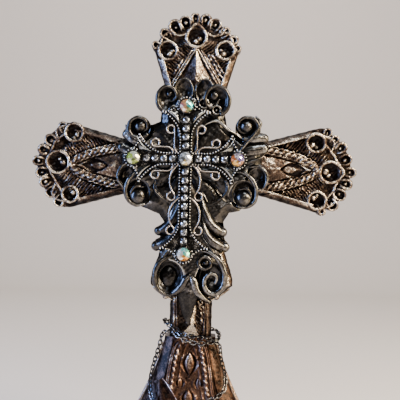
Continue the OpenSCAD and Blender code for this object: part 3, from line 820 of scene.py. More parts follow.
def build_foot():
    shape = Shape()
    count = 460
    zs = np.r_[np.arange(FOOT_TOP, 30, -0.42), np.arange(30, PLINTH_TOP, -0.7), PLINTH_TOP]
    rows, proud = [], []
    for z in zs:
        x, y, n = foot_ring(z, count)
        h = panel_relief(x * np.sign(-y + 1e-9), z) * smooth_step((np.abs(n) - 0.55) / 0.12)
        past_cut = (np.abs(x) + np.abs(y) / DEPTH_SHARE) / flare(z) - CORNER_CUT
        h = h - 0.35 * np.exp(-(past_cut / 0.10) ** 2)
        rows.append(np.stack([x, y + np.sign(y) * h * (np.abs(n) > 0.5), np.full(count, z)], -1))
        on_panel = (panel_half(z) > np.abs(x)) & (np.abs(n) > 0.55)
        # Painted shade: the cut corners are darker
        cut = smooth_step((np.abs(x) / flare(z) - 0.62) / 0.03) * (np.abs(n) > 0.45)
        proud.append(np.where(on_panel, np.minimum(h + 0.5, 0.02 + 0.18 * (h > 0)),
                              h + 0.02 - 0.12 * cut))
    verts, proud = np.array(rows), np.array(proud)
    shape.add(verts, grid_faces(len(zs), count, wrap=True), proud)
    cap = np.vstack([verts[0], [[0, 0, FOOT_TOP]]])
    shape.add(cap, [(count, (k + 1) % count, k) for k in range(count)], -0.4)
    plinth(shape)
    foot_trim(shape)
    shape.piece("foot_casting", FOOT_BRONZE, replaces=["foot"], slot="foot_casting")


def plinth_outline(half_w, half_d):
    """Rectangle with its corners cut by a circle."""
    s = np.linspace(0, 2 * np.pi, 160, endpoint=False)
    c, n = np.cos(s), np.sin(s)
    r = 1 / np.maximum(np.abs(c) / half_w, np.abs(n) / half_d)
    r = np.minimum(r, half_w * 1.1)
    return r * c, -r * n


def plinth(shape):
    half_w, half_d = FOOT_HIGH[0], FOOT_HIGH[1]
    low = FOOT_LOW[2]
    profile = [(-4.0, PLINTH_TOP + 0.2), (-3.2, PLINTH_TOP - 0.1), (-1.6, PLINTH_TOP - 0.6),
               (-0.5, PLINTH_TOP - 1.5), (-0.05, PLINTH_TOP - 2.6), (-0.5, PLINTH_TOP - 3.6),
               (-1.3, PLINTH_TOP - 4.1), (-1.3, PLINTH_TOP - 4.5), (-0.2, PLINTH_TOP - 5.0),
               (-0.05, low + 0.5), (-0.4, low), (-2.5, low)]
    verts = []
    for inset, z in profile:
        x, y = plinth_outline(half_w + inset, half_d + inset)
        verts.append(np.stack([x, y, np.full(len(x), z)], -1))
    verts = np.array(verts)
    proud = np.repeat([-0.4, 0.1, 0.3, 0.4, 0.5, 0.1, -0.7, -0.7, 0.3, 0.4, 0.1, -0.4],
                      verts.shape[1])
    shape.add(verts, grid_faces(len(profile), verts.shape[1], wrap=True), proud)
    for k, z in ((0, PLINTH_TOP + 0.2), (-1, low)):
        ring = verts[k]
        n = len(ring)
        cap = [(n, (i + 1) % n, i) if k == 0 else (n, i, (i + 1) % n) for i in range(n)]
        shape.add(np.vstack([ring, [[0, 0, z]]]), cap, -0.3)
    x, y = plinth_outline(half_w - 3.4, half_d - 3.4)
    path = np.stack([x, y, np.full(len(x), PLINTH_TOP + 0.5)], -1)
    row = even(np.vstack([path, path[:1]]), 1.9)
    for p in row[:-1]:
        ball(shape, p, 0.85, rows=6, cols=10)


def on_face(x, z, lift, side):
    """Points on the foot's front or back face, standing off it by lift."""
    x, z = np.asarray(x, float), np.asarray(z, float)
    a, b = flare(z), flare(z) * DEPTH_SHARE
    y = np.minimum(b, b * (CORNER_CUT - np.abs(x) / a))
    return np.stack([x, side * (y + lift), z], -1)


def foot_trim(shape):
    """Roped borders beside the panels, ridges down the cut corners and leaves that sweep up."""
    for side in (-1, 1):
        z = PANEL_TOP - (PANEL_TOP - PLINTH_TOP - 3) * np.linspace(0, 1, 110) ** 2
        for s in (-1, 1):
            x = s * (panel_half(z) + 0.9 * smooth_step((PANEL_TOP - z) / 0.6))
            # The border sinks under the waist chain and, on one side, under a tail's end. The
            # back is made like the front.
            lift = 0.2 - 1.2 * smooth_step((z - PANEL_TOP + 4) / 3)
            if s * side < 0:
                lift = lift - 1.0 * np.exp(-((z - 51) / 3) ** 2)
            rope_border(shape, on_face(x, z, lift, side), 1.0)
            for gap, wire in ((1.9, 0.45), (2.8, 0.4)):
                low = z < PANEL_TOP - gap
                tube(shape, on_face((x + s * gap)[low], z[low], 0.05, side), wire,
                     relief=(-0.4, 0.3))
            edge = s * flare(z) * 0.655
            tube(shape, on_face(edge, z, -0.15, side), 0.4, relief=(-0.9, -0.5))
        # Leaves that sweep down from the corners and lie side by side on the panel
        for px, pz in (([-14.0, -11.2, -8.2, -5.2, -2.6], [59.5, 53.5, 47.5, 41.5, 34.5]),
                       ([15.6, 12.6, 9.2, 6.2, 3.0], [48.5, 44.5, 40.0, 35.5, 30.0])):
            px = -side * np.array(px)
            path = curve(on_face(px, np.array(pz), [0.9, 1.1, 1.2, 1.1, 0.7], side), 34)
            sweep_leaf(shape, path, side)
    for s in (-1, 1):
        z = np.linspace(FOOT_TOP - 4, PLINTH_TOP + 3, 60)
        for lean in (-0.28, 0.28):
            y = lean * flare(z) * DEPTH_SHARE
            path = np.stack([s * (flare(z) + 0.1), y, z], -1)
            tube(shape, path, 0.5, relief=(-0.2, 0.7))


def sweep_leaf(shape, path, side):
    """Smooth leaf with one bright edge, lying along the path."""
    n = len(path)
    width = 3.9 * np.sin(np.pi * np.linspace(0.06, 0.97, n)) ** 0.7
    tangent = np.gradient(path, axis=0)
    tangent /= np.linalg.norm(tangent, axis=1)[:, None]
    out = np.array([0, side, 0.35])
    across = np.cross(tangent, out)
    across /= np.linalg.norm(across, axis=1)[:, None] * np.sign(across[n // 2, 2])
    s = np.array([-1, -1, -0.75, -0.4, 0, 0.4, 0.75, 0.95, 1.0, 1.0])
    rise = np.array([-1.5, 0.0, 0.35, 0.5, 0.45, 0.45, 0.75, 1.05, 0.7, -1.5])
    verts = path[:, None] + across[:, None] * (width[:, None] * s)[..., None]
    verts = verts + (out * rise[:, None])[None]
    verts[..., 1] = np.clip(verts[..., 1], -FOOT_HIGH[1] + 0.3, FOOT_HIGH[1] - 0.3)
    faces = grid_faces(n, len(s))
    proud = np.broadcast_to([-0.6, -0.5, -0.45, -0.45, -0.45, -0.45, -0.3, 1.0, 0.7, -0.4],
                            verts.shape[:2])
    normal = np.cross(verts[4, 5] - verts[4, 4], verts[5, 4] - verts[4, 4])
    shape.add(verts, faces if normal @ out > 0 else faces[:, ::-1], proud)


build_foot()

# ------------------------------------------------------------------ scroll overlay

GUNMETAL = cast_metal("gunmetal", (0.005, 0.0045, 0.0045), (0.072, 0.066, 0.060),
                      (0.48, 0.46, 0.41), rough=(0.34, 0.22), grain=900, bump=0.18, patchy=0.18,
                      spread=1.2, coat=0.35)
# Rim relief: the lit one gives a rim a painted highlight and the dark one leaves it dark; together
# they make lit and shaded copies of one rim
DARK_RIM, PAINTED_LIT_RIM = (-0.6, 0.12), (-0.6, 0.5)
OVERLAY_X = -0.9
OVERLAY_BACK, SUNK = 7.4, 8.3
OVERLAY_EDGE = [(-10, 200), (10, 200), (14, 192), (15.6, 183.5), (20, 180), (30, 177), (33, 170),
                (33, 160), (30, 150), (22.9, 142.1), (17.6, 141), (15, 136.6), (15.5, 130),
                (16, 124), (13, 119), (16.5, 112), (14, 103), (5, 101), (0, 98), (-6, 101),
                (-14, 102), (-17.6, 108), (-15, 117), (-16.5, 124.5), (-15, 131), (-14, 135.9),
                (-16.5, 139.8), (-25.9, 143.5), (-32, 150), (-35, 158), (-35, 170), (-32, 177),
                (-22, 182.9), (-16.8, 185), (-16.5, 192)]
OVERLAY_ENDS = [(-13.2, 197.2, 6), (-5.5, 201, 4.8), (4.2, 201.2, 4.8), (11, 196.6, 6.2),
                (-27, 181.5, 5.6), (25.8, 181.3, 5.8), (-34, 173, 3.2), (32.5, 174.3, 3.0),
                (-32.2, 157.6, 4.4), (30.9, 158.5, 4.2), (-27.2, 149.5, 5.2), (24.6, 149.6, 5.6),
                (-14.6, 131.5, 2.6), (12.8, 132.4, 2.6), (-16.2, 125.4, 2.6), (15.2, 124.8, 2.6),
                (-11.8, 109.6, 6.4), (10.6, 109, 7.0)]


def overlay_distance(x, z):
    d = distance_to_polygon(x, z, OVERLAY_EDGE)
    for cx, cz, r in OVERLAY_ENDS:
        d = blend_min(d, np.hypot(x - cx, z - cz) - r, 1.2)
    return d


def overlay_front(x, z):
    """Dark ground behind the pendant: lobed leaves that fan out from its middle."""
    d = -overlay_distance(x, z)
    reach = np.hypot(x + 3, (z - 163) * 0.8)
    turn = np.arctan2(z - 163, x + 3)
    lobes = np.abs(np.sin(turn * 5 + 0.35 * np.sin(reach * 0.4)))
    f = 8.6 + 2.6 * smooth_step(d / 4.5) + 1.5 * lobes * smooth_step(reach / 9)
    f = f - 0.2 * np.exp(-((np.sin(turn * 10) ** 2) / 0.08)) * smooth_step((reach - 7) / 6)
    f = f + 0.9 * np.exp(-(reach / 9) ** 2)
    # The ground sinks under each rolled end
    for cx, cz, r in OVERLAY_ENDS:
        f = f + (SUNK - f) * (1 - smooth_step((np.hypot(x - cx, z - cz) - r) / 1.6))
    return f


def overlay_tone(x, z):
    """Darker towards the middle, which the pendant shades."""
    return -0.45 * smooth_step(1.3 - np.hypot(x / 30, (z - 160) / 44))


def bowl(shape, x, z, rx, rz, f, depth, cols=40, tone=0.0):
    """Hollow dish: its rim at f, its middle sunk by depth, its outside running back."""
    rows = 12
    share = np.r_[np.linspace(0, 0.9, rows), 1.0, 1.03, 1.0]
    rise = np.r_[-depth * (1 - (np.linspace(0, 0.9, rows) / 0.9) ** 2.2), 0.25, -0.4, -5.2]
    a = np.arange(cols) * 2 * np.pi / cols
    verts = at(x + rx * share[:, None] * np.cos(a), z + rz * share[:, None] * np.sin(a),
               f + rise[:, None])
    proud = np.r_[np.linspace(-0.5, -0.12, rows), -0.1, -0.2, -0.4] + tone
    shape.add(verts, grid_faces(len(share), cols, wrap=True)[:, ::-1],
              np.repeat(proud, cols))


def scroll(shape, x, z, r, start, turn, eye, eye_at, f, wire=1.25, squash=1.0, depth=2.6):
    """Rolled scroll end: a dish whose rim winds in to a ball, the eye. Start is in degrees, and
    turn is 1 for winding to the left."""
    sweep = 400
    bowl(shape, x, z, r - 0.5, (r - 0.5) * squash, f, depth)
    t = np.linspace(0, 1, 64)
    a = np.radians(start + turn * sweep * t)
    wind = smooth_step((t - 0.55) / 0.45)
    rr = (r - wire * 0.85) * (1 - 0.5 * wind)
    path = at(x + rr * np.cos(a) + eye_at[0] * wind, z + squash * rr * np.sin(a) + eye_at[1] * wind,
              f + 0.35 + 0.7 * np.sin(np.pi * t) - 0.9 * wind)
    tube(shape, path, wire * (1.05 - 0.55 * t), sides=14, relief=DARK_RIM)
    ball(shape, (x + eye_at[0], -(f - depth * 0.45), z + eye_at[1]), eye, rows=14, cols=24,
         relief=(-0.6, 0.1))


def leaf_at(shape, points, widths, relief=(-0.55, 0.1), **kinds):
    """Leaf through (x, z, forward) points, its half widths given along it."""
    count = 22
    x, z, f = np.transpose(points)
    path = curve(at(x, z, f), count)
    leaf(shape, path, stretched(widths, count), relief=relief, **kinds)
    return path


def rib(shape, points, radii, count=30, relief=DARK_RIM, **kinds):
    """Bar through (x, z, forward) points, its radii given along it."""
    x, z, f = np.transpose(points)
    tube(shape, curve(at(x, z, f), count), stretched(radii, count), relief=relief, **kinds)


def beside(x, s, points):
    """The points with their first number measured out from x, to the right if s is 1."""
    return [(x + s * out, z, f) for out, z, f in points]


def overlay_top(shape):
    scroll(shape, -13.6, 195.6, 5.9, -60, -1, f=13.2, squash=1.25, eye=1.9, eye_at=(0.9, 2.6),
           wire=1.1)
    scroll(shape, 10.4, 195.3, 6.9, -70, 1, f=13.4, squash=1.2, eye=2.6, eye_at=(-1.4, 2.4),
           wire=1.25)
    # Two hollow petals between the scrolls, each with a painted highlight along part of its rim
    for x, start in ((-5.6, -30), (4.5, 30)):
        bowl(shape, x, 200.0, 4.5, 6.1, 12.7, 2.6)
        tube(shape, circle_path(x, 200.0, 4.3, 12.95, start=start, sweep=150, rz=5.9), 0.42,
             relief=PAINTED_LIT_RIM)
    for x, z, r in ((4.0, 193.9, 2.5), (10.3, 190.8, 2.2), (-10.6, 190.5, 2.0)):
        bowl(shape, x, z, r, r, 13.4, 1.4, cols=24)
        tube(shape, circle_path(x, z, r - 0.2, 13.7, count=26), 0.6, closed=True)
        ball(shape, (x, -12.6, z), r * 0.42)
    # Wavy lip above the right arm of the pendant
    rib(shape, [(4.1, 183.1, 12.6), (8.4, 185.4, 13.2), (12.2, 184.9, 13.4), (16.3, 181.4, 13.2),
                (20.4, 179.4, 12.4)], [0.5, 0.8, 0.8, 0.7, 0.5], sides=10, relief=(-0.4, 0.9))


def overlay_sides(shape):
    scroll(shape, -27.0, 181.4, 6.1, -40, -1, f=13.0, eye=3.2, eye_at=(0.5, 0.6))
    scroll(shape, 25.6, 182.2, 6.3, -110, 1, f=13.0, eye=3.4, eye_at=(-0.6, 0.8), wire=1.1,
           depth=2.0)
    # Rounded lobes under the upper scrolls
    for points, width in (
            ([(23.5, 175.6, 11.8), (29.5, 177.6, 13.0), (33.6, 177.6, 12.4)], 2.7),
            ([(21, 170.6, 11.8), (28, 171.6, 13.2), (33.4, 172.6, 12.4)], 2.9),
            ([(-24, 171.6, 11.8), (-29, 175.4, 13.0), (-32.6, 178.4, 12.2)], 2.9),
            ([(-23, 168.0, 11.8), (-30, 169.6, 13.0), (-35.0, 171.8, 12.2)], 2.8)):
        end = leaf_at(shape, points, [1.2, width, width, width * 0.9], bulge=1.9, drop=3,
                      relief=(-0.5, 0.35))[-1]
        ball(shape, end + np.array([0, 0.9, 0]), width * 0.95, squash=(1, 0.85, 1), rows=12,
             cols=22, relief=(-0.5, 0.5))
    # Rims along the lobes, with painted highlights
    rib(shape, [(20.5, 168.6, 12.6), (24.5, 174.2, 13.8), (29.6, 180.4, 14.2),
                (31.6, 184.6, 13.6), (29.6, 188.0, 13.2)], [0.5, 0.8, 1.0, 1.0, 0.6], sides=12,
        relief=PAINTED_LIT_RIM)
    rib(shape, [(-20.5, 172.6, 12.6), (-26.4, 174.0, 13.6), (-32.0, 178.0, 13.8),
                (-33.4, 182.6, 13.4)], [0.4, 0.6, 0.8, 0.5], sides=12, relief=PAINTED_LIT_RIM)
    # Ridge behind the pendant's right arm, with a painted highlight on its crest
    rib(shape, [(2.5, 170.4, 12.4), (9, 170.9, 13.4), (16, 170.4, 13.4), (23, 168.6, 12.4)],
        [0.8, 1.5, 1.5, 0.8], sides=14, relief=(-0.5, 0.5))
    # Dishes whose outer rim carries a painted highlight
    for s, x in ((-1, -31.9), (1, 30.7)):
        bowl(shape, x, 158, 4.3, 5.4, 12.4, 2.4)
        rib(shape, beside(x, s, [(-3.5, 163.6, 12.4), (1.2, 164, 13), (4.3, 160.5, 13.2),
                                 (4.6, 156, 13.1), (2.4, 152.6, 12.6)]),
            [0.5, 0.9, 1.0, 0.9, 0.5], sides=10, relief=PAINTED_LIT_RIM)
        rib(shape, beside(x, s, [(-9, 164.2, 12.2), (-5.5, 165.4, 12.8), (-1.5, 166.6, 12.4),
                                 (2.2, 168.4, 11.6)]), [0.4, 0.8, 0.9, 0.6])
    # Lower side scrolls: a ball in a crescent whose rim carries a painted highlight
    for s, x in ((-1, -26.6), (1, 24.3)):
        bowl(shape, x + s * 0.6, 150.4, 6.2, 6.6, 12.6, 2.4)
        rib(shape, beside(x, s, [(-4.6, 161.6, 12.6), (0.4, 160.4, 13.6), (4.3, 157, 14),
                                 (6.2, 152, 13.8), (5.4, 146.9, 13.3), (1.6, 144, 12.8),
                                 (-3, 144.4, 12.4)]),
            [0.6, 1.0, 1.15, 1.1, 1.0, 0.9, 0.6], count=44, sides=12, relief=PAINTED_LIT_RIM)
        ball(shape, (x + s * 0.3, -12.0, 148.2), 4.1, squash=(1, 0.8, 1), rows=14, cols=24,
             relief=(-0.5, 0.3))
        rib(shape, beside(x, s, [(-2.2, 152.6, 13.4), (1.6, 152.9, 14), (3.6, 149.6, 13.6),
                                 (2.2, 146.4, 13)]), [0.4, 0.8, 0.7, 0.4])
        leaf_at(shape, beside(x, s, [(-14, 157, 11.6), (-8, 150.5, 12.6), (-5, 144.6, 11.6)]),
                [1.6, 3.4, 3.0, 1.0], bulge=-1.2, drop=2)
        rib(shape, beside(x, s, [(-8.6, 157.2, 12.4), (-7.6, 152.8, 13.2), (-10, 148.6, 13),
                                 (-16, 144.8, 12.2)]), [0.4, 0.6, 0.6, 0.35])


def overlay_low(shape):
    for s in (-1, 1):
        # Finger leaves that run down beside the pendant and curl out to rounded tips
        # Painted light: the right fingers are lighter and the left ones darker
        finger_painted_light = 0.34 if s > 0 else -0.15
        for points, width in (([(4.7, 150, 12.2), (6.3, 142.6, 13.2), (9.3, 136.2, 13.5),
                                (12.6, 132.8, 13.0), (15.4, 131.6, 11.8)], 2.5),
                              ([(5.3, 140, 12.2), (6.9, 132.6, 13.2), (9.9, 127.8, 13.5),
                                (13.4, 125.3, 13.0), (16.6, 124.3, 11.8)], 2.6)):
            path = leaf_at(shape, beside(OVERLAY_X, s, points),
                           [0.6, width * 0.8, width, width * 1.1, width * 0.9],
                           bulge=2.1, drop=3, relief=(-0.6, finger_painted_light), across=13)
            ball(shape, path[-1] + np.array([0, 0.3, 0]), width * 0.98, rows=12, cols=20,
                 relief=(-0.5, finger_painted_light + 0.2))
        # Vein that leads from the fingers down to the scroll's outer rim, with a painted highlight on
        # the right and left dark on the left
        rib(shape, beside(OVERLAY_X, s, [(4.4, 136, 12.2), (6.1, 128.6, 12.9), (9.1, 125, 13.2),
                                         (11.8, 120.8, 13.2), (14.6, 117.1, 12.8)]),
            [0.5, 0.8, 0.9, 0.8, 0.6], relief=PAINTED_LIT_RIM if s > 0 else DARK_RIM)
    # Narrow leaf close to the pendant's lower bar on the left
    leaf_at(shape, [(-7.3, 146, 12.6), (-9.4, 141, 13.4), (-10.9, 136, 13.2), (-11.3, 131, 12.2)],
            [0.8, 1.9, 1.8, 0.9], bulge=1.4, drop=2.5)
    # Left: a wide dish with a soft boss, painted darker with its rim as painted shade. Right: an open
    # spiral with a ring above it, the spiral's rim carrying a painted highlight.
    bowl(shape, -11.0, 109.8, 6.9, 8.2, 11.8, 3.2, tone=-0.45)
    rib(shape, [(-9.4, 120.2, 11.6), (-13.2, 118.4, 12.8), (-16.6, 114.8, 13.4),
                (-17.9, 109.2, 13.2), (-16.0, 103.2, 12.8), (-11.4, 100.6, 12.6),
                (-7.2, 102.6, 12.8), (-4.2, 106.8, 13.2), (-1.6, 110.8, 13.0)],
        [0.6, 1.2, 1.5, 1.4, 1.1, 0.9, 0.9, 0.9, 0.6], count=70, sides=12)
    ball(shape, (-11.2, -9.0, 109.4), 4.6, squash=(1.0, 0.5, 1.3), rows=20, cols=36,
         relief=(-0.8, -0.55))
    bowl(shape, 10.4, 109, 6.6, 8.0, 12.4, 3.2)
    rib(shape, [(3.4, 122.4, 12.2), (8.6, 121.6, 13.4), (13.6, 117.4, 13.9), (16.1, 110.8, 13.7),
                (14.8, 104.4, 13.3), (10.6, 101.6, 13.2), (6.9, 103.8, 13.5), (6.4, 108.2, 13.9),
                (9.0, 111.6, 14.2), (12.1, 110.0, 14.0), (11.6, 106.6, 13.6)],
        [0.8, 1.2, 1.45, 1.6, 1.5, 1.4, 1.35, 1.2, 1.15, 1.0, 0.7], count=96, sides=14,
        relief=PAINTED_LIT_RIM)
    tube(shape, circle_path(6.3, 116.6, 3.0, 13.8, count=40), 0.95, sides=12, closed=True,
         relief=(-0.5, 0.3))
    bowl(shape, 6.4, 116.6, 2.7, 2.7, 13.2, 1.8, cols=26)
    ball(shape, (6.9, -12.6, 116.8), 1.9, relief=(-0.6, 0.0))
    # Two leaves that part below the scrolls, the right one painted lighter with a highlight
    leaf_at(shape, [(-1.2, 110.9, 12.6), (1.0, 107.8, 13.6), (2.4, 103.6, 13.4),
                    (5.2, 100.0, 12.4), (9.4, 97.2, 10.6)], [1.4, 2.0, 2.0, 1.9, 0.9], bulge=1.5,
            drop=3.4, relief=(-0.6, 0.4))
    leaf_at(shape, [(0.2, 110.9, 12.6), (-2.6, 108.6, 13.6), (-5.0, 104.6, 13.3),
                    (-8.2, 101.6, 12.4), (-12.2, 100.2, 11.2)], [1.3, 1.9, 1.9, 1.8, 0.8],
            bulge=1.5, drop=3.4)
    leaf_at(shape, [(-0.9, 110, 11.0), (-1.6, 102, 10.2), (-1.6, 94, 8.6), (-1.1, 85.4, 7.0)],
            [1.5, 4.6, 4.4, 2.8, 0.4], bulge=0.5, drop=2.6, relief=(-0.9, -0.5))


def build_overlay():
    shape = Shape()
    relief_plate(shape, overlay_distance, overlay_front, OVERLAY_BACK, (-38, 84), (38, 208), 0.45,
                 tone=overlay_tone)
    overlay_top(shape)
    overlay_sides(shape)
    overlay_low(shape)
    # Small leaves and tendrils that show between the pendant's arms
    for s in (-1, 1):
        for du, dw in [(10.5, 9), (15.5, 4.5), (11, -8.5), (8.6, -17)]:
            turn = math.atan2(dw, du)
            tip = (du + 5 * math.cos(turn), 165 + dw + 5 * math.sin(turn), 12.4)
            foot, mid = (du * 0.45, 165 + dw * 0.45, 11.4), (du, 165 + dw + 1.2, 12.9)
            leaf_at(shape, beside(OVERLAY_X, s, [foot, mid, tip]), [0.6, 2.3, 2.0, 0.7],
                    bulge=-0.9, drop=1.5, ridge=0.5)
        rib(shape, beside(OVERLAY_X, s, [(16, 157, 12.6), (17, 152.8, 13), (14.4, 148, 12.8),
                                         (8.4, 144.4, 12.4)]), [0.35, 0.5, 0.5, 0.3])
    shape.piece("overlay_casting", GUNMETAL, replaces=["scroll_overlay"],
                slot="gunmetal_casting", sharp=60, uneven=0.1)


build_overlay()

# ------------------------------------------------------------------ pendant

BLACK_PEWTER = cast_metal("black_pewter", (0.003, 0.003, 0.003), (0.018, 0.017, 0.016),
                          (0.80, 0.76, 0.70), rough=(0.5, 0.24), grain=1800, bump=0.2, spread=0.9)
BRIGHT_PEWTER = cast_metal("bright_pewter", (0.10, 0.10, 0.09), (0.30, 0.31, 0.29),
                           (0.80, 0.78, 0.72), rough=(0.3, 0.12), grain=1200, bump=0.08,
                           patchy=0.2)
PEWTER_WIRE = cast_metal("pewter_wire", (0.08, 0.065, 0.055), (0.36, 0.31, 0.27),
                         (0.80, 0.72, 0.64), rough=(0.4, 0.22), grain=1500, bump=0.1, patchy=0.2)
# Pale, half metallic beads: rubbed bright, and pale enough to carry a painted highlight
BEAD_PEWTER = cast_metal("bead_pewter", (0.03, 0.03, 0.03), (0.45, 0.44, 0.41),
                         (0.95, 0.93, 0.88), rough=(0.6, 0.4), grain=1500, bump=0.05,
                         patchy=0.15, metallic=0.35)
PX, PZ = -4.1, 166.6
FRAME_BACK, FRAME_FRONT = -PENDANT_HIGH[1], -PENDANT_LOW[1]
ARM_SIDE, ARM_UP, ARM_DOWN = 24.9, 25.2, 45.7
BEAD_PITCH, BEAD_R = 1.38, 0.36
BAR_HALF, FLARE_BACK, FLARE_W, FLARE_LEN, ARCH_R = 3.1, 2.5, 12.0, 13.0, 4.7
# Pendant arms: length, direction along, direction across
PENDANT_ARMS = [(ARM_UP, (0, 1), (1, 0)), (ARM_DOWN, (0, -1), (-1, 0)),
                (ARM_SIDE, (1, 0), (0, -1)), (ARM_SIDE, (-1, 0), (0, 1))]


def pendant_at(u, w, f, along=(0, 1), across=(1, 0)):
    """Points given across and along one of the pendant's arms, the top one by default."""
    u, w = np.asarray(u, float), np.asarray(w, float)
    return at(PX + u * across[0] + w * along[0], PZ + u * across[1] + w * along[1], f)


def flare_side(length, inset=0.0):
    """Curved side of a flared end, from the bar out to its point."""
    t = np.linspace(0, 1, 14)
    return (BAR_HALF + (FLARE_W - BAR_HALF) * t ** 2.2 - inset,
            length - FLARE_BACK - FLARE_LEN * (1 - t) + inset * 0.5)


def flare_end(length, inset=0.0):
    """Outer edge of a flared end, from its point in to the arch round the large stone."""
    t = np.linspace(0, 1, 9)
    return (FLARE_W * (1 - t) + ARCH_R * 0.62 * t - inset * (1 - t),
            length - FLARE_BACK + 4.6 * t ** 2 - inset)


def pendant_distance(x, z):
    d = np.full(np.shape(x), 1e9)
    for length, along, across in PENDANT_ARMS:
        u = (x - PX) * across[0] + (z - PZ) * across[1]
        w = (x - PX) * along[0] + (z - PZ) * along[1]
        su, sw = flare_side(length)
        eu, ew = flare_end(length)
        half = list(zip(su, sw)) + list(zip(eu[1:], ew[1:]))
        outline = ([(BAR_HALF, -2)] + half + [(-a, b) for a, b in half[::-1]]
                   + [(-BAR_HALF, -2)])
        d = np.minimum(d, distance_to_polygon(u, w, outline))
        d = np.minimum(d, np.hypot(u, w - length) - ARCH_R)
    return d


def pendant_front(x, z):
    d = -pendant_distance(x, z)
    return FRAME_FRONT - 0.45 + 0.2 * (1 - smooth_step((d - 0.9) / 0.5)) * smooth_step(d / 0.3)


def beaded_edge(shape, beading, line, edge):
    """A dark fillet along the line, and the milled beads that stand on the edge."""
    tube(shape, line, 0.34, sides=6, relief=(-0.9, -0.7))
    beads(beading, edge - np.array([0, 0.22, 0]), BEAD_PITCH, BEAD_R)


def build_pendant():
    shape, plates, beading = Shape(), Shape(), Shape()
    relief_plate(shape, pendant_distance, pendant_front, FRAME_BACK,
                 (PX - 31, PZ - 52), (PX + 31, PZ + 32), 0.28)
    top = FRAME_FRONT + 0.1
    for length, along, across in PENDANT_ARMS:
        for s in (-1, 1):
            side_u, side_w = flare_side(length, 0.45)
            row_u = np.r_[BAR_HALF - 0.45, side_u]
            row_w = np.r_[BAR_HALF + 0.4, side_w]
            end_u, end_w = flare_end(length, 0.45)
            edge = pendant_at(s * np.r_[row_u, end_u], np.r_[row_w, end_w], top, along, across)
            beaded_edge(shape, beading, even(edge, 0.8), edge)
            # Smooth plate that fills the flare beside the large stone
            if length == ARM_DOWN:
                continue
            low_u, low_w = flare_side(length, 1.3)
            side = pendant_at(s * low_u[4:], low_w[4:] + 0.5, 0, along, across)
            inner = pendant_at(s * np.linspace(2.6, 4.4, len(side)),
                               np.linspace(low_w[4] + 0.5, length - 2.6, len(side)), 0, along,
                               across)
            plate(plates, inner, side, FRAME_FRONT + 0.05)
            for share in (0.15, 0.5, 0.85) if length == ARM_UP else ():
                line = inner * (1 - share) + side * share - np.array([0, 0.55, 0])
                tube(plates, line, 0.24, sides=8, relief=(-0.6, 0.9))
        arch = np.radians(np.linspace(-20, 200, 40))
        edge = pendant_at((ARCH_R - 0.35) * np.cos(arch), length + (ARCH_R - 0.35) * np.sin(arch),
                          top, along, across)
        beaded_edge(shape, beading, edge, edge)
    shape.piece("pendant_casting", BLACK_PEWTER, replaces=["pendant_frame"],
                slot="blackened_pewter", sharp=45)
    plates.piece("pendant_plates", BRIGHT_PEWTER, slot="blackened_pewter")
    beading.piece("pendant_beading", BEAD_PEWTER, slot="blackened_pewter")


def plate(shape, inner, outer, f):
    """Domed plate between two edges that run side by side."""
    rows = 7
    t = np.linspace(0, 1, rows)
    verts = inner[None] * (1 - t)[:, None, None] + outer[None] * t[:, None, None]
    run = np.linspace(0, 1, len(inner))
    rise = 0.55 * np.sin(np.pi * t)[:, None] ** 0.6 * np.sin(np.pi * run)[None] ** 0.5
    verts[..., 1] = -(f - 0.15 + rise)
    faces = grid_faces(rows, len(inner))
    a, b = verts[1, 1] - verts[0, 1], verts[0, 2] - verts[0, 1]
    if np.cross(a, b)[1] > 0:
        faces = faces[:, ::-1]
    shape.add(verts, faces, 0.15 + 0.3 * np.broadcast_to(t[:, None], verts.shape[:2]))


def arc(u, w, r, start, sweep, count):
    """Arc as (across, along) pairs. The angles are in degrees."""
    a = np.radians(start + np.linspace(0, sweep, count))
    return np.stack([u + r * np.cos(a), w + r * np.sin(a)], -1)


def build_wires():
    """Wire scrolls: each is one run of wire from its loop to where it is soldered on."""
    runs = {
        "wire_scrolls_upper": [
            np.vstack([arc(7.3, 14.2, 1.9, -120, 300, 34), [(5.4, 10)], arc(0.9, 6, 4.5, 0, -60, 9)]),
            np.vstack([arc(14.6, 7.6, 1.9, 210, -300, 34), [(11.8, 5.7)], arc(9, 2.7, 3, 90, 100, 9)]),
        ],
        "wire_scrolls_lower": [
            np.vstack([arc(14.6, -7.7, 1.9, 150, 300, 34), [(11.8, -5.8)],
                       arc(9, -2.8, 3, -90, -100, 9)]),
        ] + [np.vstack([arc(-2.2, w, 9.6, 75, -115, 40), arc(6.6, w - 7.39, 1.9, 140, 300, 34)])
             for w in (-10.6, -27)],
    }
    middle = (FRAME_BACK + FRAME_FRONT) / 2
    for node, paths in runs.items():
        shape = Shape()
        for path in paths:
            for s in (-1, 1):
                line = even(pendant_at(s * path[:, 0], path[:, 1], middle), 0.35)
                t = np.linspace(0, 1, len(line))
                tube(shape, line, 0.43 + 0.07 * np.sin(7 * t), sides=10, relief=(-0.2, 0.6))
        shape.piece(node + "_wire", PEWTER_WIRE, replaces=[node], slot="pewter_wire")


build_pendant()
build_wires()

# ------------------------------------------------------------------ stones and cups


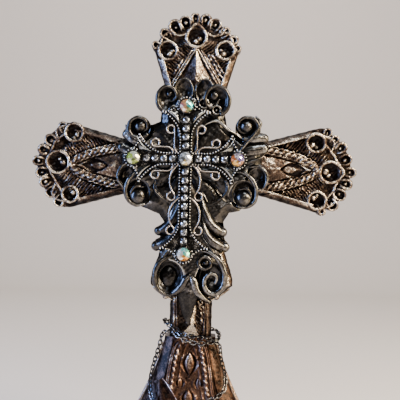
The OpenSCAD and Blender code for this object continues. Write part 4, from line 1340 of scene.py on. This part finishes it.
def stone_material(name, painted_glow):
    """Foil-backed cut glass under a clear polished face: each facet's colour is the glass's tint
    with painted reflections, and it also glows in that colour as painted light.
    """
    material, nodes, links, shader = new_material(name)
    facet = nodes.new("ShaderNodeAttribute")
    facet.attribute_name = "facet"
    cloud = noise(nodes, links, 900, 2)
    tone = ramp(nodes, links, cloud, [(0.3, (0.72, 0.74, 0.78)), (0.7, (1, 1, 1))])
    mix = nodes.new("ShaderNodeMix")
    mix.data_type = "RGBA"
    mix.blend_type = "MULTIPLY"
    mix.inputs["Factor"].default_value = 0.6
    links.new(facet.outputs["Color"], mix.inputs["A"])
    links.new(tone, mix.inputs["B"])
    links.new(mix.outputs["Result"], shader.inputs["Base Color"])
    # Painted light: the facets glow in their own colours
    links.new(mix.outputs["Result"], shader.inputs["Emission Color"])
    shader.inputs["Emission Strength"].default_value = painted_glow
    shader.inputs["Metallic"].default_value = 0.85
    shader.inputs["Roughness"].default_value = 0.10
    shader.inputs["Coat Weight"].default_value = 0.35
    shader.inputs["Coat Roughness"].default_value = 0.03
    return material


CUT_CRYSTAL = stone_material("cut_crystal", 0.5)
CUT_GLASS = stone_material("cut_glass", 0.12)


def cut_stone(parts, centre, r, crown, depth, palette, sparkle, turn):
    """Round stone cut with a table, eight stars, eight kites and sixteen girdle facets. The
    palette gives a colour for each direction round the stone, its tint with painted
    reflections, and sparkle darkens facets at random and gives a few a painted glint."""
    def ring(n, radius, f, shift=0.0):
        a = turn + (np.arange(n) + shift) * 2 * np.pi / n
        return at(centre[0] + radius * np.cos(a), centre[2] + radius * np.sin(a), -centre[1] + f)

    table, star = ring(8, r * 0.52, crown), ring(8, r * 0.78, crown * 0.62, 0.5)
    girdle, lower = ring(16, r, 0.0), ring(16, r, -0.12)
    point = ring(1, 0, -depth)
    verts = np.vstack([table, star, girdle, lower, point, ring(1, 0, crown)])
    # Where each ring starts in verts, after the table
    star_at, girdle_at, lower_at, point_at, middle_at = 8, 16, 32, 48, 49
    faces = []
    for k in range(8):
        n, t = (k + 1) % 8, star_at + k
        g, g1, g2 = (girdle_at + (2 * k + step) % 16 for step in range(3))
        faces += [(k, t, n), (t, g1, g2), (t, g, g1), (t, g2, n), (t, k, g), (middle_at, k, n)]
    for k in range(16):
        n = (k + 1) % 16
        faces += [(girdle_at + k, lower_at + k, lower_at + n, girdle_at + n),
                  (lower_at + k, point_at, lower_at + n)]
    colours = []
    for face in faces:
        mid = verts[list(face)].mean(0) - np.asarray(centre)
        a = math.degrees(math.atan2(mid[2], mid[0])) % 360
        near = min(sorted(palette), key=lambda key: min(abs(key - a), 360 - abs(key - a)))
        tone = np.array(palette[near]) * rng.uniform(1 - sparkle, 1)
        # Painted glint on a few facets
        painted_glint = rng.uniform() < sparkle * 0.3
        colours.append(np.clip(tone + 0.5 * painted_glint, 0, 1))
    parts.append((verts, faces, colours))


def stone_piece(name, parts, node, material):
    """Joins cut stones into one piece, with a colour for each facet."""
    mesh = bpy.data.meshes.new(name)
    verts, faces, colours, count = [], [], [], 0
    for v, f, c in parts:
        verts.append(v)
        faces += [tuple(i + count for i in face[::-1]) for face in f]
        colours += c
        count += len(v)
    mesh.from_pydata((np.vstack(verts) * MM).tolist(), [], faces)
    data = np.ones((len(colours), 4), np.float32)
    data[:, :3] = colours
    mesh.attributes.new("facet", "FLOAT_COLOR", "FACE").data.foreach_set("color", data.ravel())
    mesh.materials.append(material)
    piece = add_object(name, mesh)
    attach(piece, "root")
    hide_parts(node)


# Facet colours for each direction round each large stone: its tint with painted reflections
CRYSTALS = {
    "crystal_top": ("crystal_rose", {0: (0.05, 0.80, 0.78), 50: (0.40, 0.75, 0.60),
                                     110: (0.90, 0.45, 0.22), 180: (0.92, 0.38, 0.34),
                                     240: (0.90, 0.50, 0.25), 300: (0.22, 0.24, 0.10)}),
    "crystal_left": ("crystal_lemon", {0: (0.70, 0.68, 0.45), 90: (0.85, 0.90, 0.75),
                                       150: (0.45, 0.62, 0.12), 220: (0.80, 0.85, 0.50),
                                       290: (0.30, 0.36, 0.10)}),
    "crystal_centre": ("crystal_clear", {30: (0.85, 0.86, 0.88), 120: (0.50, 0.54, 0.56),
                                         200: (0.22, 0.22, 0.20), 260: (0.92, 0.66, 0.25),
                                         320: (0.80, 0.75, 0.70)}),
    "crystal_right": ("crystal_amber", {20: (0.42, 0.30, 0.62), 90: (0.50, 0.42, 0.55),
                                        170: (0.62, 0.20, 0.07), 240: (0.85, 0.45, 0.10),
                                        310: (0.45, 0.22, 0.12)}),
    "crystal_bottom": ("crystal_aqua", {20: (0.22, 0.80, 0.50), 80: (0.25, 0.82, 0.80),
                                        150: (0.90, 0.95, 0.95), 220: (0.92, 0.75, 0.60),
                                        280: (0.95, 0.38, 0.08)}),
}
# Clear glass: its light and dark facets are painted reflections
CLEAR = {0: (0.50, 0.52, 0.55), 70: (0.75, 0.76, 0.78), 140: (0.12, 0.12, 0.13),
         210: (0.55, 0.56, 0.58), 290: (0.16, 0.16, 0.17)}


def build_crystals():
    for node, (slot, palette) in CRYSTALS.items():
        low, high = node_box(node)
        centre = (low + high) / 2
        centre[1] = low[1] + 1.35
        parts = []
        cut_stone(parts, centre, (high[0] - low[0]) / 2 - 0.1, 1.3, 1.5, palette, 0.5, 0.2)
        stone_piece(node + "_cut", parts, node, CUT_CRYSTAL)


STONE_PITCH, FIRST_STONE, STONE_D = 4.15, 6.2, 3.5


def row_places(direction, count):
    """Middles of the small stones in the row that runs in the direction."""
    return [pendant_at(*(np.array(direction) * (FIRST_STONE + k * STONE_PITCH)), 0)
            for k in range(count)]


STONE_ROWS = {"top": ((0, 1), 4), "left": ((-1, 0), 4), "right": ((1, 0), 4),
              "bottom": ((0, -1), 9)}
SETTING_METAL = cast_metal("setting_metal", (0.004, 0.004, 0.004), (0.05, 0.048, 0.045),
                           (0.60, 0.57, 0.52), rough=(0.4, 0.2), grain=2000, bump=0.1, patchy=0.2)


def setting(shape, x, z, back, front, r, prongs):
    """Cup with a rolled rim, standing on the frame, and small prongs bent over the stone."""
    share = np.array([0.62, 0.92, 1.0, 1.0, 0.97, 0.9, 0.88, 0.86])
    level = np.array([0.0, 0.05, 0.3, 0.85, 1.0, 0.98, 0.8, 0.3])
    cols = 28
    a = np.arange(cols) * 2 * np.pi / cols
    verts = at(x + r * share[:, None] * np.cos(a), z + r * share[:, None] * np.sin(a),
               back + (front - back) * level[:, None])
    proud = np.repeat([-0.8, -0.7, -0.6, -0.4, -0.1, -0.2, -0.6, -0.8], cols)
    shape.add(verts, grid_faces(len(share), cols, wrap=True), proud)
    for k in range(prongs):
        b = (k + 0.5) * 2 * np.pi / prongs
        reach = r * np.array([1.0, 0.98, 0.8])
        path = at(x + reach * math.cos(b), z + reach * math.sin(b),
                  [front - 0.7, front + 0.08, front + 0.22])
        tube(shape, curve(path, 6), 0.17 if prongs < 6 else 0.24, sides=6, relief=(0, 0.8))


def build_settings():
    shape = Shape()
    stone_low, stone_high = node_box("crystal_top")
    r = (stone_high[0] - stone_low[0]) / 2 + 0.45
    low, high = node_box("large_cups")
    for u, w in ((0, ARM_UP), (-ARM_SIDE, 0), (0, 0), (ARM_SIDE, 0), (0, -ARM_DOWN)):
        x, _, z = pendant_at(u, w, 0)
        setting(shape, x, z, -high[1], -low[1], r, 8)
        tube(shape, circle_path(x, z, r + 0.1, FRAME_FRONT + 0.3, count=40), 0.28, sides=10,
             closed=True, relief=(-0.9, -0.5))
    shape.piece("large_settings", SETTING_METAL, replaces=["large_cups"], slot="setting_metal")
    for name, (direction, count) in STONE_ROWS.items():
        cups, stones = Shape(), []
        node = "cup_strip_" + name
        low, high = node_box(node)
        for x, _, z in row_places(direction, count):
            setting(cups, x, z, -high[1], -low[1], STONE_D / 2 + 0.22, 4)
            cut_stone(stones, (x, low[1] + 0.35, z), STONE_D / 2 - 0.1, 0.55, 0.9, CLEAR, 0.8,
                      rng.uniform(0, 1))
        cups.piece(node + "_settings", SETTING_METAL, replaces=[node], slot="setting_metal")
        stone_piece("stones_" + name + "_cut", stones, "stones_" + name,
                    CUT_GLASS)


build_crystals()
build_settings()

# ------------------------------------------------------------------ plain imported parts


def felt():
    """Pressed wool: a matt cloth with fibres that stand up a little."""
    material, nodes, links, shader = new_material("wool_felt")
    shader.inputs["Roughness"].default_value = 0.95
    shader.inputs["Sheen Weight"].default_value = 0.4
    fibre = noise(nodes, links, 1800, 6, 0.7)
    links.new(ramp(nodes, links, fibre, [(0.3, (0.008, 0.008, 0.009)), (0.7, (0.05, 0.048, 0.05))]),
              shader.inputs["Base Color"])
    nap = nodes.new("ShaderNodeBump")
    nap.inputs["Strength"].default_value = 0.6
    nap.inputs["Distance"].default_value = 0.0005
    links.new(fibre, nap.inputs["Height"])
    links.new(nap.outputs[0], shader.inputs["Normal"])
    return material


def give(nodes, material):
    for node in nodes:
        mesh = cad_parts[node].data
        mesh.materials.clear()
        mesh.materials.append(material)


CHAIN_METAL = cast_metal("chain_metal", (0.002, 0.002, 0.003), (0.018, 0.018, 0.021),
                         (0.55, 0.55, 0.56), rough=(0.30, 0.12), grain=2600, bump=0.2, patchy=0.25)
LINK_R, LINK_SIDE, LINK_WIRE = 0.86, 1.15, 0.30


def loose_parts(points, edges):
    """The separate parts of a mesh, each as its points, joined wherever points coincide."""
    places, same = np.unique(np.round(points, 3), axis=0, return_inverse=True)
    edges = same.ravel()[edges]
    part = np.arange(len(places))
    while True:
        lower = part.copy()
        np.minimum.at(lower, edges[:, 0], part[edges[:, 1]])
        np.minimum.at(lower, edges[:, 1], part[edges[:, 0]])
        lower = lower[lower]
        if (lower == part).all():
            return [places[part == k] for k in np.unique(part)]
        part = lower


def chain_link(shape, points):
    """A stouter oval link that takes the place of the one through these points."""
    centre = points.mean(0)
    long, wide, thin = np.linalg.svd(points - centre, full_matrices=False)[2]
    n, sides = 10, 8
    a = np.r_[np.linspace(-90, 90, n), np.linspace(90, 270, n)] * np.pi / 180
    shift = np.repeat([LINK_SIDE / 2, -LINK_SIDE / 2], n)
    out = np.cos(a)[:, None] * long + np.sin(a)[:, None] * wide
    path = centre + shift[:, None] * long + LINK_R * out
    b = np.arange(sides) * 2 * np.pi / sides
    normal = np.cos(b)[None, :, None] * out[:, None] + np.sin(b)[None, :, None] * thin
    away = np.array([centre[0], centre[1], 0]) / np.hypot(centre[0], centre[1])
    faces = grid_faces(2 * n + 1, sides, wrap=True) % (2 * n * sides)
    if np.cross(long, wide) @ thin > 0:
        faces = faces[:, ::-1]
    shape.add(path[:, None] + LINK_WIRE * normal, faces,
              -0.6 + 1.6 * np.clip(normal @ away, 0, 1) ** 3)


def build_chain():
    bodies = {"chain_left_upper": "left_tail_upper", "chain_left_lower": "left_tail_lower",
              "chain_right_upper": "right_tail_upper", "chain_right_lower": "right_tail_lower"}
    for node in [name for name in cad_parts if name.startswith("chain_")]:
        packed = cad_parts[node]
        points = np.array([packed.matrix_world @ v.co for v in packed.data.vertices]) / MM
        shape = Shape()
        edges = np.array([edge.vertices[:] for edge in packed.data.edges])
        for part in loose_parts(points, edges):
            chain_link(shape, part)
        shape.piece(node + "_links", CHAIN_METAL, body=bodies.get(node, "root"), replaces=[node],
                    slot="chain_metal")


ZINC_STEEL = cast_metal("zinc_steel", (0.22, 0.22, 0.22), (0.48, 0.48, 0.49), (0.72, 0.72, 0.74),
                        rough=(0.5, 0.28), grain=2200, bump=0.15, patchy=0.3)
build_chain()
give(["tie_rod", "rod_washer", "rod_nut", "overlay_pins", "pendant_posts"], ZINC_STEEL)
give(["felt_pad"], felt())

# ------------------------------------------------------------------ stage, camera and lights


def stage():
    """Pale floor that curves up into a backdrop, in metres."""
    mesh = bpy.data.meshes.new("floor")
    half, bend_start, bend_r, top = 6, 0.9, 0.35, 2.6
    a = np.linspace(0, np.pi / 2, 25)
    depth, rise = bend_start + bend_r * np.sin(a), bend_r * (1 - np.cos(a))
    depth, rise = np.r_[-half, depth, depth[-1]], np.r_[0, rise, top]
    verts = [(s * half, y, z) for y, z in zip(depth, rise) for s in (-1, 1)]
    faces = [(2 * i, 2 * i + 1, 2 * i + 3, 2 * i + 2) for i in range(len(depth) - 1)]
    mesh.from_pydata(verts, [], faces)
    mesh.polygons.foreach_set("use_smooth", [True] * len(mesh.polygons))
    floor = add_object("floor", mesh)
    material, _, _, shader = new_material("pale_floor")
    shader.inputs["Base Color"].default_value = (0.78, 0.72, 0.66, 1)
    shader.inputs["Roughness"].default_value = 0.9
    mesh.materials.append(material)


def area_light(name, place, target, size, power, colour):
    light = bpy.data.lights.new(name, "AREA")
    light.shape = "RECTANGLE"
    light.size, light.size_y = size
    light.energy, light.color = power, colour
    lamp = add_object(name, light)
    lamp.location = place
    lamp.rotation_euler = (Vector(target) - Vector(place)).to_track_quat("-Z", "Y").to_euler()


def set_camera():
    camera = bpy.data.cameras.new("camera")
    camera.sensor_width = 36
    camera.lens = 75.5
    viewer = add_object("camera", camera)
    viewer.location = (0.0033, -0.420, 0.14705)
    viewer.rotation_euler = (math.radians(90), math.radians(-1.3), 0)
    bpy.context.scene.camera = viewer


def set_world():
    world = bpy.data.worlds.new("world")
    world.use_nodes = True
    sky = world.node_tree.nodes["Background"].inputs
    sky["Color"].default_value = (0.62, 0.66, 0.74, 1)
    sky["Strength"].default_value = 0.06
    bpy.context.scene.world = world


MIDDLE = (0, 0, 0.15)
stage()
set_camera()
set_world()
area_light("key_right", (0.55, -0.45, 0.62), MIDDLE, (0.22, 0.22), 11.0, (1.0, 0.84, 0.64))
area_light("warm_right", (0.66, -0.20, 0.34), MIDDLE, (0.16, 0.40), 7.0, (1.0, 0.80, 0.50))
area_light("window_left", (-0.64, -0.26, 0.28), MIDDLE, (0.16, 0.50), 9.0, (0.28, 0.46, 1.0))
area_light("sky_top", (0.15, -0.25, 0.85), MIDDLE, (0.3, 0.2), 2.5, (0.80, 0.90, 1.0))
area_light("soft_front", (0.1, -0.9, 0.60), MIDDLE, (0.4, 0.2), 2.0, (1.0, 0.95, 0.9))
area_light("backdrop", (0, 0.35, 1.1), (0, 1.2, 0.2), (1.2, 0.3), 9.0, (1.0, 0.96, 0.92))
